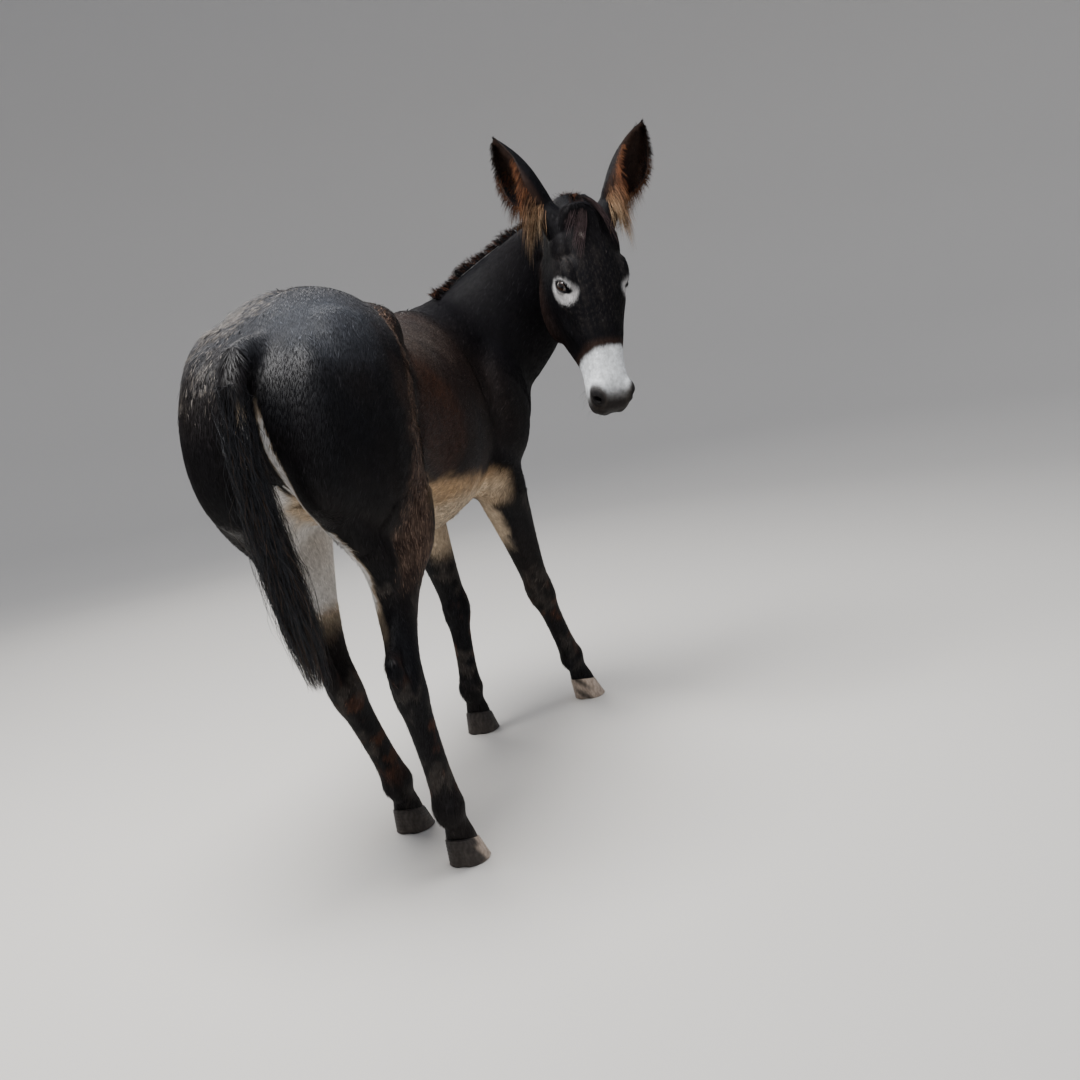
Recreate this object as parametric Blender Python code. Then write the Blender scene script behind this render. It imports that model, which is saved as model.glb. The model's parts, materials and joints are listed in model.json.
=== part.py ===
"""A life-size still model of a young black mammoth-type donkey, looking back over its right side.

The animal faces +X while it is modelled, with +Y to its left and +Z up. The finished nodes are
moved so that the origin is under the middle of their box, on the floor.
"""
import math
import random

import bmesh
import bpy
from mathutils import Matrix, Vector

# Heights and reaches of the trunk (metres)
CROUP_Z = 1.325
CROUP_X = -0.35
BACK_Z = 1.225
WITHERS_Z = 1.255
WITHERS_X = 0.36
TAILHEAD = Vector((-0.660, -0.030, 1.195))
STERNUM_Z = 0.692
BELLY_Z = 0.692
RUMP_SHIFT = -0.020

# Head: its poll, the line down the face and the way the forehead looks
POLL = Vector((0.4275, -0.525, 1.437))
FACE_LINE = Vector((-0.185, -0.094, -0.978))
FOREHEAD_WAY = Vector((-0.756, -0.622, 0.202))
HEAD_LENGTH = 0.530
EYE_RADIUS = 0.0215
EYE_ALONG = 0.222
EYE_ASIDE = 0.081
EYE_BELOW = 0.044
LID_THICK = 0.0045

# Ears
EAR_LENGTH = 0.288
EAR_WIDTH = 0.101
EAR_BOW = 0.009
EAR_SHELL = 0.005
EAR_BASE_ALONG = 0.042
EAR_BASE_ASIDE = 0.066
EAR_BASE_BELOW = 0.050
EAR_STUMP = 0.055
EAR_WIDEST = 0.42
EAR_FOOT = 0.54

# Feet
HOOF_HEIGHT = 0.062
HOOF_HALF_LENGTH = 0.056
HOOF_HALF_WIDTH = 0.046
HOOF_TAPER = 0.80
CORONET_WAY = Vector((0.24, 0.0, 1.0)).normalized()

# Locks of hair
TAIL_TIERS = 4
TAIL_LOCKS_ROUND = 5
TAIL_REACH = 0.695
TAIL_SWELL = 0.034
MANE_STEPS = 7
MANE_CLEAR = 0.016
MANE_TALL = 0.050
FORELOCKS = 7
EAR_LOCKS = 5
EAR_HAIR = 0.050

# Making of the skin
VOXEL = 0.0055
SMOOTH_PASSES = 90
GAP = 0.0003
SIDES = 20
STEPS = 5
SEED = 11

# Faces wanted in each node before its locks are joined on
BUDGET = {
    "head": 2000,
    "neck": 700,
    "torso": 1900,
    "leg_fore_left": 520,
    "leg_fore_right": 520,
    "leg_hind_left": 680,
    "leg_hind_right": 680,
    "tail": 180,
}

COAT_BLACK = (0.018, 0.015, 0.014, 1.0)
HORN = (0.05, 0.045, 0.04, 1.0)
EYE_DARK = (0.01, 0.007, 0.005, 1.0)


def clear_scene():
    for thing in list(bpy.data.objects):
        bpy.data.objects.remove(thing, do_unlink=True)


def make_material(name, colour, roughness):
    material = bpy.data.materials.new(name)
    material.use_nodes = True
    shader = material.node_tree.nodes["Principled BSDF"]
    shader.inputs["Base Color"].default_value = colour
    shader.inputs["Roughness"].default_value = roughness
    shader.inputs["Metallic"].default_value = 0.0
    return material


def object_from(name, bm):
    bmesh.ops.recalc_face_normals(bm, faces=bm.faces)
    if bm.calc_volume(signed=True) < 0:
        bmesh.ops.reverse_faces(bm, faces=bm.faces)
    mesh = bpy.data.meshes.new(name)
    bm.to_mesh(mesh)
    bm.free()
    thing = bpy.data.objects.new(name, mesh)
    bpy.context.scene.collection.objects.link(thing)
    return thing


def drop(things):
    for thing in things:
        bpy.data.objects.remove(thing, do_unlink=True)


def bake_modifiers(thing):
    """Replace the object's mesh by what its modifiers make of it."""
    bpy.context.view_layer.update()
    graph = bpy.context.evaluated_depsgraph_get()
    mesh = bpy.data.meshes.new_from_object(thing.evaluated_get(graph))
    thing.modifiers.clear()
    thing.data = mesh


def smooth_value(before, here, after, later, t):
    """Catmull-Rom value between here and after."""
    slope_in = (after - before) * 0.5
    slope_out = (later - here) * 0.5
    square = t * t
    cube = square * t
    return (here * (2 * cube - 3 * square + 1) + slope_in * (cube - 2 * square + t)
            + after * (3 * square - 2 * cube) + slope_out * (cube - square))


def smooth_rows(rows, steps):
    """Rows of equal length, with more rows read from a smooth curve through them."""
    out = []
    last = len(rows) - 1
    for index in range(last):
        four = [rows[max(index - 1, 0)], rows[index], rows[index + 1], rows[min(index + 2, last)]]
        for step in range(steps):
            t = step / steps
            out.append([smooth_value(a, b, c, d, t) for a, b, c, d in zip(*four)])
    out.append(list(rows[-1]))
    return out


def bridge_rings(bm, rings):
    """Skin rings of points into one closed body with capped ends."""
    loops = [[bm.verts.new(point) for point in ring] for ring in rings]
    count = len(loops[0])
    for near, far in zip(loops, loops[1:]):
        for index in range(count):
            after = (index + 1) % count
            bm.faces.new((near[index], near[after], far[after], far[index]))
    bm.faces.new(list(reversed(loops[0])))
    bm.faces.new(loops[-1])


def squared(angle, power):
    """Cosine and sine of a superellipse."""
    c = math.cos(angle)
    s = math.sin(angle)
    return (math.copysign(abs(c) ** (2 / power), c), math.copysign(abs(s) ** (2 / power), s))


def limb(name, rows, side=Vector((0, 1, 0)), power=2.0, sides=SIDES, steps=STEPS, lean=0.0):
    """A tube through rows of x, y, z, half depth and half width across the side direction."""
    fine = smooth_rows(rows, steps)
    centres = [Vector(row[:3]) for row in fine]
    bm = bmesh.new()
    rings = []
    for index, row in enumerate(fine):
        along = centres[min(index + 1, len(fine) - 1)] - centres[max(index - 1, 0)]
        along.normalize()
        here = Vector(row[5:8]) if len(row) > 5 else side
        across = (here - along * here.dot(along)).normalized()
        front = across.cross(along)
        ring = []
        for step in range(sides):
            c, s = squared(2 * math.pi * step / sides, power)
            ring.append(centres[index] + front * s * row[3] + across * c * row[4] * (1 + lean * s))
        rings.append(ring)
    bridge_rings(bm, rings)
    return object_from(name, bm)


def ball(name, centre, radii, turn=(0.0, 0.0, 0.0), segments=24):
    """An ellipsoid turned by degrees about X, Y and Z."""
    bm = bmesh.new()
    bmesh.ops.create_uvsphere(bm, u_segments=segments, v_segments=segments // 2, radius=1.0)
    spin = Matrix.Rotation(math.radians(turn[2]), 4, "Z")
    spin = spin @ Matrix.Rotation(math.radians(turn[1]), 4, "Y")
    spin = spin @ Matrix.Rotation(math.radians(turn[0]), 4, "X")
    place = Matrix.Translation(centre) @ spin @ Matrix.Diagonal((*radii, 1.0))
    bmesh.ops.transform(bm, matrix=place, verts=bm.verts)
    return object_from(name, bm)


def rump_shift(x):
    """The spine swings a little to the right towards the tail."""
    return RUMP_SHIFT * min(max((0.1 - x) / 0.7, 0.0), 1.0)


# The right shoulder is carried out and forward by its stretched leg
SHOULDER_REACH = {"left": (0.0, 0.0, 0.0), "right": (0.044, -0.056, 0.0)}


def make_trunk():
    """Barrel, rump and chest as one egg-sectioned body: x, top, bottom, half width, upward lean."""
    rows = [
        (-0.680, 1.10, 1.00, 0.060, 0.00),
        (-0.650, 1.165, 0.95, 0.130, 0.00),
        (-0.590, 1.225, 0.90, 0.182, 0.02),
        (-0.480, 1.285, 0.84, 0.226, 0.08),
        (CROUP_X, CROUP_Z, 0.800, 0.236, 0.09),
        (-0.210, 1.298, 0.772, 0.216, 0.03),
        (-0.060, 1.248, 0.722, 0.204, -0.06),
        (0.100, BACK_Z, BELLY_Z - 0.022, 0.214, -0.10),
        (0.240, 1.235, STERNUM_Z - 0.012, 0.206, -0.12),
        (WITHERS_X, WITHERS_Z, STERNUM_Z - 0.002, 0.190, -0.20),
        (0.480, 1.225, STERNUM_Z + 0.016, 0.182, -0.14),
        (0.600, 1.140, STERNUM_Z + 0.062, 0.165, -0.04),
        (0.685, 1.065, STERNUM_Z + 0.130, 0.128, 0.00),
        (0.722, 1.020, STERNUM_Z + 0.195, 0.068, 0.00),
    ]
    bm = bmesh.new()
    rings = []
    sides = 36
    for x, top, bottom, half, lean in smooth_rows(rows, STEPS):
        middle = (top + bottom) / 2
        tall = (top - bottom) / 2
        ring = []
        for step in range(sides):
            c, s = squared(2 * math.pi * step / sides, 2.15)
            y = half * c * (1 + lean * s) + rump_shift(x)
            ring.append(Vector((x, y, middle + tall * s)))
        rings.append(ring)
    bridge_rings(bm, rings)
    return object_from("trunk", bm)


def make_muscles():
    """Thighs, hip points, buttocks, shoulders and breast, left and right."""
    pieces = []
    for hand, sign in (("left", 1), ("right", -1)):
        shift = Vector((0, RUMP_SHIFT, 0))
        reach = Vector(SHOULDER_REACH[hand])
        behind = between(HIND[hand]["stifle"], HIND[hand]["gaskin"], 0.40) - Vector((0.125, 0, 0))
        pieces.append(ball("thigh_" + hand, Vector((-0.43, sign * 0.126, 1.00)) + shift,
                           (0.205, 0.120, 0.27), (0, -10, 0)))
        pieces.append(ball("buttock_" + hand, Vector((-0.568, sign * 0.106, 1.02)) + shift,
                           (0.112, 0.094, 0.205), (0, 4, 0)))
        pieces.append(ball("stifle_" + hand, Vector((-0.280, sign * 0.140, 0.860)) + shift,
                           (0.092, 0.066, 0.155), (0, -20, 0)))
        pieces.append(ball("hip_point_" + hand, Vector((-0.215, sign * 0.120, 1.185)) + shift * 0.5,
                           (0.120, 0.078, 0.078), (0, 25, 0)))
        pieces.append(ball("shoulder_" + hand, Vector((0.530, sign * 0.100, 1.000)) + reach,
                           (0.135, 0.088, 0.235), (sign * 10, 24, 0)))
        pieces.append(ball("breast_" + hand, Vector((0.636, sign * 0.084, 0.960)) + reach,
                           (0.086, 0.088, 0.160), (0, 16, 0)))
        pieces.append(ball("elbow_" + hand, Vector((0.450, sign * 0.126, 0.815)) + reach * 0.6,
                           (0.104, 0.064, 0.100), (0, 0, 0)))
        pieces.append(limb("hamstring_" + hand, [
            (-0.580, sign * 0.100 + RUMP_SHIFT, 0.960, 0.062, 0.066),
            (-0.545, sign * 0.094 + RUMP_SHIFT, 0.855, 0.056, 0.056),
            (*behind, 0.044, 0.046),
            (*(Vector(HIND[hand]["gaskin"]) - Vector((0.050, 0, 0.01))), 0.028, 0.030),
        ], sides=14))
    pieces.append(ball("tail_root", TAILHEAD + Vector((0.052, 0, -0.050)), (0.048, 0.040, 0.062)))
    pieces.append(ball("neck_root", Vector((0.560, 0.012, 1.115)), (0.140, 0.120, 0.152)))
    pieces.append(ball("groin", Vector((-0.24, RUMP_SHIFT * 0.7, 0.845)), (0.12, 0.11, 0.070)))
    return pieces


HIND = {
    "right": {
        "hip": (-0.42, -0.135, 1.02), "stifle": (-0.330, -0.165, 0.80),
        "gaskin": (-0.425, -0.165, 0.630), "hock": (-0.515, -0.190, 0.470),
        "fetlock": (-0.455, -0.212, 0.150), "hoof": (-0.400, -0.215, 0.0),
    },
    "left": {
        "hip": (-0.42, 0.085, 1.02), "stifle": (-0.290, 0.110, 0.80),
        "gaskin": (-0.365, 0.058, 0.620), "hock": (-0.440, -0.002, 0.455),
        "fetlock": (-0.255, -0.012, 0.145), "hoof": (-0.185, -0.002, 0.0),
    },
}
FORE = {
    "right": {
        "shoulder": (0.455, -0.120, 0.90), "elbow": (0.455, -0.150, 0.775),
        "knee": (0.625, -0.168, 0.405), "fetlock": (0.765, -0.194, 0.148),
        "hoof": (0.835, -0.212, 0.0),
    },
    "left": {
        "shoulder": (0.455, 0.105, 0.90), "elbow": (0.450, 0.105, 0.775),
        "knee": (0.525, 0.060, 0.400), "fetlock": (0.520, 0.055, 0.145),
        "hoof": (0.560, 0.055, 0.0),
    },
}


def between(start, end, t):
    return Vector(start).lerp(Vector(end), t)


def row(point, deep, wide):
    return (point[0], point[1], point[2], deep, wide)


def hoof_top(joints):
    """Middle of the coronet: above the hoof, on the way up to the fetlock."""
    sole = Vector(joints["hoof"])
    up = Vector(joints["fetlock"]) - sole
    return sole + up * (HOOF_HEIGHT / up.z)


def make_hind_leg(hand):
    """Gaskin, hock, cannon, fetlock and pastern of one hind leg."""
    joints = HIND[hand]
    hock = Vector(joints["hock"])
    fetlock = Vector(joints["fetlock"])
    crown = hoof_top(joints)
    ahead = Vector((1, 0, 0))
    rows = [
        row(joints["hip"], 0.16, 0.090),
        row(joints["stifle"], 0.115, 0.076),
        row(between(joints["stifle"], joints["gaskin"], 0.55), 0.092, 0.060),
        row(joints["gaskin"], 0.068, 0.048),
        row(between(joints["gaskin"], hock, 0.6), 0.047, 0.036),
        row(hock + ahead * 0.006, 0.045, 0.038),
        row(between(hock, fetlock, 0.16), 0.044, 0.037),
        row(between(hock, fetlock, 0.32), 0.036, 0.031),
        row(between(hock, fetlock, 0.65), 0.033, 0.0285),
        row(between(hock, fetlock, 0.86), 0.034, 0.031),
        row(fetlock - ahead * 0.004, 0.041, 0.037),
        row(between(fetlock, crown, 0.45), 0.030, 0.028),
        row(between(fetlock, crown, 0.9), 0.034, 0.034),
        row(crown + (crown - fetlock) * 0.25, 0.036, 0.036),
    ]
    leg = limb("hind_" + hand, rows, power=2.2)
    heel = hock + Vector((-0.052, 0, 0.035))
    cap = limb("hock_cap_" + hand, [
        row(between(joints["gaskin"], heel, 0.35) + Vector((-0.018, 0, 0.0)), 0.016, 0.011),
        row(between(joints["gaskin"], heel, 0.75), 0.017, 0.013),
        row(heel, 0.021, 0.019),
        row(between(hock, fetlock, 0.10) - ahead * 0.030, 0.021, 0.019),
        row(between(hock, fetlock, 0.30) - ahead * 0.014, 0.014, 0.014),
    ])
    ergot = ball("ergot_" + hand, fetlock + Vector((-0.026, 0, -0.006)), (0.018, 0.022, 0.024))
    return [leg, cap, ergot]


def make_fore_leg(hand):
    """Forearm, knee, cannon, fetlock and pastern of one foreleg."""
    joints = FORE[hand]
    knee = Vector(joints["knee"])
    fetlock = Vector(joints["fetlock"])
    crown = hoof_top(joints)
    ahead = Vector((1, 0, 0))
    rows = [
        row(joints["shoulder"], 0.120, 0.070),
        row(joints["elbow"], 0.098, 0.074),
        row(between(joints["elbow"], knee, 0.30), 0.076, 0.061),
        row(between(joints["elbow"], knee, 0.65), 0.053, 0.045),
        row(between(joints["elbow"], knee, 0.88), 0.042, 0.038),
        row(knee, 0.043, 0.041),
        row(between(knee, fetlock, 0.15), 0.041, 0.039),
        row(between(knee, fetlock, 0.32), 0.034, 0.030),
        row(between(knee, fetlock, 0.65), 0.032, 0.0275),
        row(between(knee, fetlock, 0.86), 0.034, 0.030),
        row(fetlock, 0.040, 0.036),
        row(between(fetlock, crown, 0.45), 0.030, 0.028),
        row(between(fetlock, crown, 0.9), 0.034, 0.034),
        row(crown + (crown - fetlock) * 0.25, 0.036, 0.036),
    ]
    leg = limb("fore_" + hand, rows, power=2.2)
    pisiform = ball("knee_back_" + hand, knee - ahead * 0.034, (0.018, 0.018, 0.030))
    ergot = ball("fore_ergot_" + hand, fetlock + Vector((-0.026, 0, -0.006)), (0.018, 0.022, 0.024))
    return [leg, pisiform, ergot]


def head_frame():
    """Columns: down the face, to the animal's left, out of the forehead; origin at the poll."""
    along = FACE_LINE.normalized()
    out = (FOREHEAD_WAY - along * FOREHEAD_WAY.dot(along)).normalized()
    left = out.cross(along)
    turn = Matrix((along, left, out)).transposed()
    return Matrix.Translation(POLL) @ turn.to_4x4()


HEAD = head_frame()


def on_head(along, aside, out):
    """A point from its place on a head 0.6 m long, aside and out of the face."""
    return HEAD @ Vector((along * HEAD_LENGTH / 0.6, aside, out))


def head_turn():
    return HEAD.to_3x3().to_4x4()


def head_ball(name, place, radii, segments=20):
    """An ellipsoid with its axes along the head's own."""
    bm = bmesh.new()
    bmesh.ops.create_uvsphere(bm, u_segments=segments, v_segments=segments // 2, radius=1.0)
    move = Matrix.Translation(on_head(*place)) @ head_turn() @ Matrix.Diagonal((*radii, 1.0))
    bmesh.ops.transform(bm, matrix=move, verts=bm.verts)
    return object_from(name, bm)


def make_skull():
    """The head from poll to lips: along, top, bottom, half width, lean to the top."""
    rows = [
        (-0.060, -0.045, -0.120, 0.040, 0.00),
        (-0.020, -0.008, -0.155, 0.066, 0.02),
        (0.050, 0.006, -0.178, 0.084, 0.04),
        (0.120, 0.012, -0.212, 0.096, 0.08),
        (0.195, 0.012, -0.236, 0.104, 0.16),
        (0.260, 0.007, -0.244, 0.098, 0.14),
        (0.332, -0.004, -0.230, 0.081, 0.10),
        (0.405, -0.016, -0.188, 0.063, 0.04),
        (0.465, -0.025, -0.150, 0.055, 0.00),
        (0.520, -0.030, -0.138, 0.058, 0.00),
        (0.568, -0.038, -0.138, 0.058, 0.00),
        (0.598, -0.055, -0.132, 0.046, 0.00),
        (0.607, -0.078, -0.114, 0.022, 0.00),
    ]
    bm = bmesh.new()
    rings = []
    sides = 32
    for along, top, bottom, half, lean in smooth_rows(rows, STEPS):
        middle = (top + bottom) / 2
        tall = (top - bottom) / 2
        ring = []
        for step in range(sides):
            c, s = squared(2 * math.pi * step / sides, 2.5)
            ring.append(on_head(along, half * c * (1 + lean * s), middle + tall * s))
        rings.append(ring)
    bridge_rings(bm, rings)
    return object_from("skull", bm)


def make_head_forms():
    """Cheeks, brows, cheek bones, nostril wings, lips and chin."""
    pieces = [make_skull()]
    for sign in (1, -1):
        pieces.append(head_ball("cheek", (0.238, sign * 0.058, -0.160), (0.112, 0.034, 0.085)))
        pieces.append(head_ball("brow", (0.196, sign * 0.077, -0.016), (0.046, 0.022, 0.019)))
        pieces.append(head_ball("cheek_bone", (0.285, sign * 0.068, -0.085), (0.080, 0.022, 0.022)))
        pieces.append(head_ball("nostril_wing", (0.548, sign * 0.038, -0.060), (0.038, 0.024, 0.030)))
        pieces.append(head_ball("upper_lip", (0.578, sign * 0.024, -0.090), (0.030, 0.028, 0.026)))
        pieces.append(head_ball("temple", (0.110, sign * 0.070, -0.050), (0.070, 0.028, 0.045)))
    pieces.append(head_ball("lower_lip", (0.575, 0.0, -0.130), (0.030, 0.036, 0.018)))
    pieces.append(head_ball("chin", (0.545, 0.0, -0.143), (0.032, 0.032, 0.018)))
    return pieces


def neck_rows():
    """Neck swung to the right and back: centre, half depth, half width and its side direction."""
    left = HEAD.to_3x3() @ Vector((0, 1, 0))
    return [
        (0.400, 0.000, 1.000, 0.240, 0.150, 0.0, 1.0, 0.0),
        (0.530, -0.030, 1.045, 0.225, 0.148, 0.1, 1.0, 0.0),
        (0.630, -0.112, 1.116, 0.206, 0.124, 0.45, 0.85, 0.0),
        (0.650, -0.212, 1.204, 0.174, 0.088, 0.80, 0.50, -0.1),
        (0.615, -0.318, 1.285, 0.143, 0.073, 0.95, 0.15, -0.2),
        (0.550, -0.405, 1.345, 0.114, 0.064, 0.95, -0.15, -0.2),
        (0.470, -0.475, 1.368, 0.098, 0.064, *left),
        (0.400, -0.508, 1.362, 0.085, 0.060, *left),
    ]


def make_neck():
    return limb("neck_form", neck_rows(), power=2.2, sides=24)


def crest_line(steps):
    """Points along the top of the neck with the way out, the way to the left and the way on."""
    fine = smooth_rows(neck_rows(), steps)
    centres = [Vector(row[:3]) for row in fine]
    found = []
    for index, row in enumerate(fine):
        along = centres[min(index + 1, len(fine) - 1)] - centres[max(index - 1, 0)]
        along.normalize()
        side = Vector(row[5:8])
        across = (side - along * side.dot(along)).normalized()
        out = along.cross(across)
        found.append((centres[index] + out * row[3], out, across, along))
    return found


def make_dock():
    """The tail's flesh, hanging free just behind the buttocks."""
    x, y, z = TAILHEAD
    rows = [
        (x + 0.120, y, z + 0.010, 0.030, 0.034),
        (x + 0.030, y, z + 0.006, 0.032, 0.034),
        (x - 0.030, y, z - 0.024, 0.030, 0.030),
        (x - 0.066, y - 0.002, z - 0.086, 0.025, 0.026),
        (x - 0.078, y - 0.006, z - 0.180, 0.021, 0.022),
        (x - 0.068, y - 0.012, z - 0.300, 0.017, 0.018),
        (x - 0.052, y - 0.020, z - 0.420, 0.013, 0.014),
        (x - 0.044, y - 0.024, z - 0.470, 0.006, 0.006),
    ]
    return limb("dock", rows, sides=14)


def lock(points, widths, thick, faces):
    """A flat tapered lock through points, broad across its faces' normals."""
    bm = bmesh.new()
    rings = []
    last = len(points) - 1
    for index, point in enumerate(points):
        along = points[min(index + 1, last)] - points[max(index - 1, 0)]
        along.normalize()
        out = faces[index] - along * faces[index].dot(along)
        out.normalize()
        wide = along.cross(out) * widths[index] / 2
        deep = out * thick * (1.0 if index < last else 0.35) / 2
        rings.append([point + wide, point + deep, point - wide, point - deep])
    bridge_rings(bm, rings)
    bmesh.ops.triangulate(bm, faces=bm.faces)
    return object_from("lock", bm)


def tail_axis(drop):
    """Middle line of the hanging tail at a depth below the tailhead."""
    x, y, z = TAILHEAD
    rows = [(-0.062, 0.000, 0.060), (-0.080, -0.006, 0.180), (-0.066, -0.014, 0.340),
            (-0.042, -0.026, 0.500), (-0.022, -0.034, 0.620), (-0.010, -0.038, 0.700)]
    drop = min(max(drop, rows[0][2]), rows[-1][2])
    for near, far in zip(rows, rows[1:]):
        if drop <= far[2]:
            t = (drop - near[2]) / (far[2] - near[2])
            return Vector((x + near[0] + (far[0] - near[0]) * t,
                           y + near[1] + (far[1] - near[1]) * t, z - drop))
    return Vector((x + rows[-1][0], y + rows[-1][1], z - drop))


def tail_locks():
    """Long locks down the dock, set round it in tiers, that hang to the tail's tip."""
    chance = random.Random(SEED)
    locks = []
    for tier in range(TAIL_TIERS):
        t = tier / (TAIL_TIERS - 1)
        for index in range(TAIL_LOCKS_ROUND):
            angle = 2 * math.pi * (index + 0.5 * (tier % 2)) / TAIL_LOCKS_ROUND + chance.uniform(-0.15, 0.15)
            top = 0.085 + 0.28 * t + chance.uniform(-0.015, 0.015)
            end = min(TAIL_REACH, top + 0.29 + 0.06 * t + chance.uniform(-0.03, 0.03))
            swell = TAIL_SWELL * (0.75 + 0.25 * t) + chance.uniform(-0.003, 0.003)
            points = []
            faces = []
            for step, radius in enumerate((0.008, 0.80 * swell, swell, 0.85 * swell, 0.45 * swell)):
                drop = top + (end - top) * step / 4
                turn = angle + 0.10 * step * (-1) ** index
                out = Vector((math.cos(turn), math.sin(turn), 0))
                points.append(tail_axis(drop) + out * radius)
                faces.append(out)
            locks.append(lock(points, (0.018, 0.031, 0.032, 0.024, 0.005), 0.006, faces))
    return locks


def mane_locks():
    """Short locks along the crest that stand up and fall a little to the left and back."""
    chance = random.Random(SEED + 1)
    locks = []
    points = crest_line(MANE_STEPS)[int(2.2 * MANE_STEPS):-int(1.3 * MANE_STEPS)]
    throat, way = head_cut()
    for index, (crest, out, across, along) in enumerate(points):
        if (crest - throat).dot(way) < MANE_CLEAR:
            continue
        t = index / (len(points) - 1)
        tall = MANE_TALL * (1.0 - 0.45 * t) * chance.uniform(0.85, 1.15)
        side = across * (1 if index % 2 else -1)
        start = crest + side * 0.004
        fall = (across * 0.55 - along * 0.35 + Vector((0, 0, -0.2))).normalized()
        path = [start - out * 0.014, start + out * 0.2 * tall,
                start + out * 0.62 * tall + fall * 0.18 * tall,
                start + out * 0.85 * tall + fall * 0.55 * tall]
        locks.append(lock(path, (0.024, 0.026, 0.020, 0.005), 0.005, [across] * 4))
    return locks


def forelock_locks():
    """Thin locks from the poll that lie down the forehead."""
    chance = random.Random(SEED + 2)
    face = HEAD.to_3x3()
    locks = []
    for index in range(FORELOCKS):
        t = -1 + 2 * index / (FORELOCKS - 1)
        start = Vector((0.018 + chance.uniform(0, 0.012), 0.026 * t, 0.002))
        reach = 0.115 + chance.uniform(0, 0.055)
        sway = 0.020 * t + chance.uniform(-0.008, 0.008)
        path = []
        for part, rise in ((0.0, -0.008), (0.12, 0.014), (0.45, 0.0215), (0.75, 0.0205), (1.0, 0.019)):
            path.append(on_head(start.x + reach * part, start.y + sway * part, start.z + rise))
        locks.append(lock(path, (0.010, 0.011, 0.010, 0.008, 0.003), 0.0035,
                          [face @ Vector((0, 0, 1))] * 5))
    return locks


def ear_locks(hand):
    """Long hair along both rims of the ear, hanging outward and down."""
    chance = random.Random(SEED + (3 if hand == "left" else 4))
    place = ear_frame(hand)
    turn = place.to_3x3()
    length = EAR_LENGTH - EAR_STUMP
    locks = []
    for rim in (1, -1):
        for index in range(EAR_LOCKS):
            t = 0.17 + 0.55 * index / (EAR_LOCKS - 1)
            radius, roll, shell = ear_section(t)[1:]
            angle = rim * (roll - 0.10)
            middle = radius - shell / 2
            root = ear_point(hand, t, angle, middle, length)
            onward = Vector((math.sin(abs(angle)), rim * math.cos(angle), 0))
            out = Vector((-math.cos(angle), math.sin(angle), 0))
            reach = EAR_HAIR * (1.15 - 0.55 * t) * chance.uniform(0.8, 1.15)
            way = (onward * 0.75 + Vector((0.25, 0, -0.60))).normalized()
            sag = Vector((0.15, 0, -0.35)) * reach
            local = [root - way * 0.005, root + way * 0.25 * reach,
                     root + way * 0.65 * reach + sag * 0.35, root + way * reach + sag]
            locks.append(lock([place @ point for point in local], (0.013, 0.014, 0.010, 0.003), 0.003,
                              [turn @ out] * 4))
    return locks


def softness(point):
    """How far the smoothing goes: most on the trunk, little on the face, tail and feet."""
    to_head = HEAD.inverted() @ point
    if to_head.x > -0.02 and abs(to_head.y) < 0.16 and -0.30 < to_head.z < 0.10:
        return 0.05
    if point.x < TAILHEAD.x - 0.025:
        return 0.08
    if point.y < -0.25:
        return 0.30
    return min(1.0, max(0.08, (point.z - 0.50) / 0.30))


def fuse_flesh():
    """One skin over all the forms: joined, remeshed and smoothed."""
    pieces = [make_trunk(), make_neck(), make_dock()]
    pieces += make_muscles()
    pieces += make_head_forms()
    for hand in ("left", "right"):
        pieces += make_hind_leg(hand)
        pieces += make_fore_leg(hand)
    bm = bmesh.new()
    for piece in pieces:
        bm.from_mesh(piece.data)
    drop(pieces)
    body = object_from("body", bm)
    remesh = body.modifiers.new("Skin", "REMESH")
    remesh.mode = "VOXEL"
    remesh.voxel_size = VOXEL
    bake_modifiers(body)
    soft = body.vertex_groups.new(name="soft")
    for vert in body.data.vertices:
        soft.add([vert.index], softness(vert.co), "REPLACE")
    smooth = body.modifiers.new("Smooth", "SMOOTH")
    smooth.factor = 0.5
    smooth.iterations = SMOOTH_PASSES
    smooth.vertex_group = "soft"
    bake_modifiers(body)
    body.vertex_groups.clear()
    return body


def slab(name, centre, normal, half_sizes, roll=None):
    """A thin plate across a limb, facing along normal."""
    normal = Vector(normal).normalized()
    guide = Vector(roll) if roll else Vector((0, 1, 0))
    across = (guide - normal * guide.dot(normal)).normalized()
    up = normal.cross(across)
    turn = Matrix((across, up, normal)).transposed().to_4x4()
    size = Matrix.Diagonal((half_sizes[0], half_sizes[1], GAP / 2, 1.0))
    bm = bmesh.new()
    bmesh.ops.create_cube(bm, size=2.0)
    bmesh.ops.transform(bm, matrix=Matrix.Translation(centre) @ turn @ size, verts=bm.verts)
    return object_from(name, bm)


def head_cut():
    """The middle of the cut between head and neck, and the way it faces."""
    return on_head(0.099, -0.020, -0.200), HEAD.to_3x3() @ Vector((-0.56, 0, -0.828))


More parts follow.
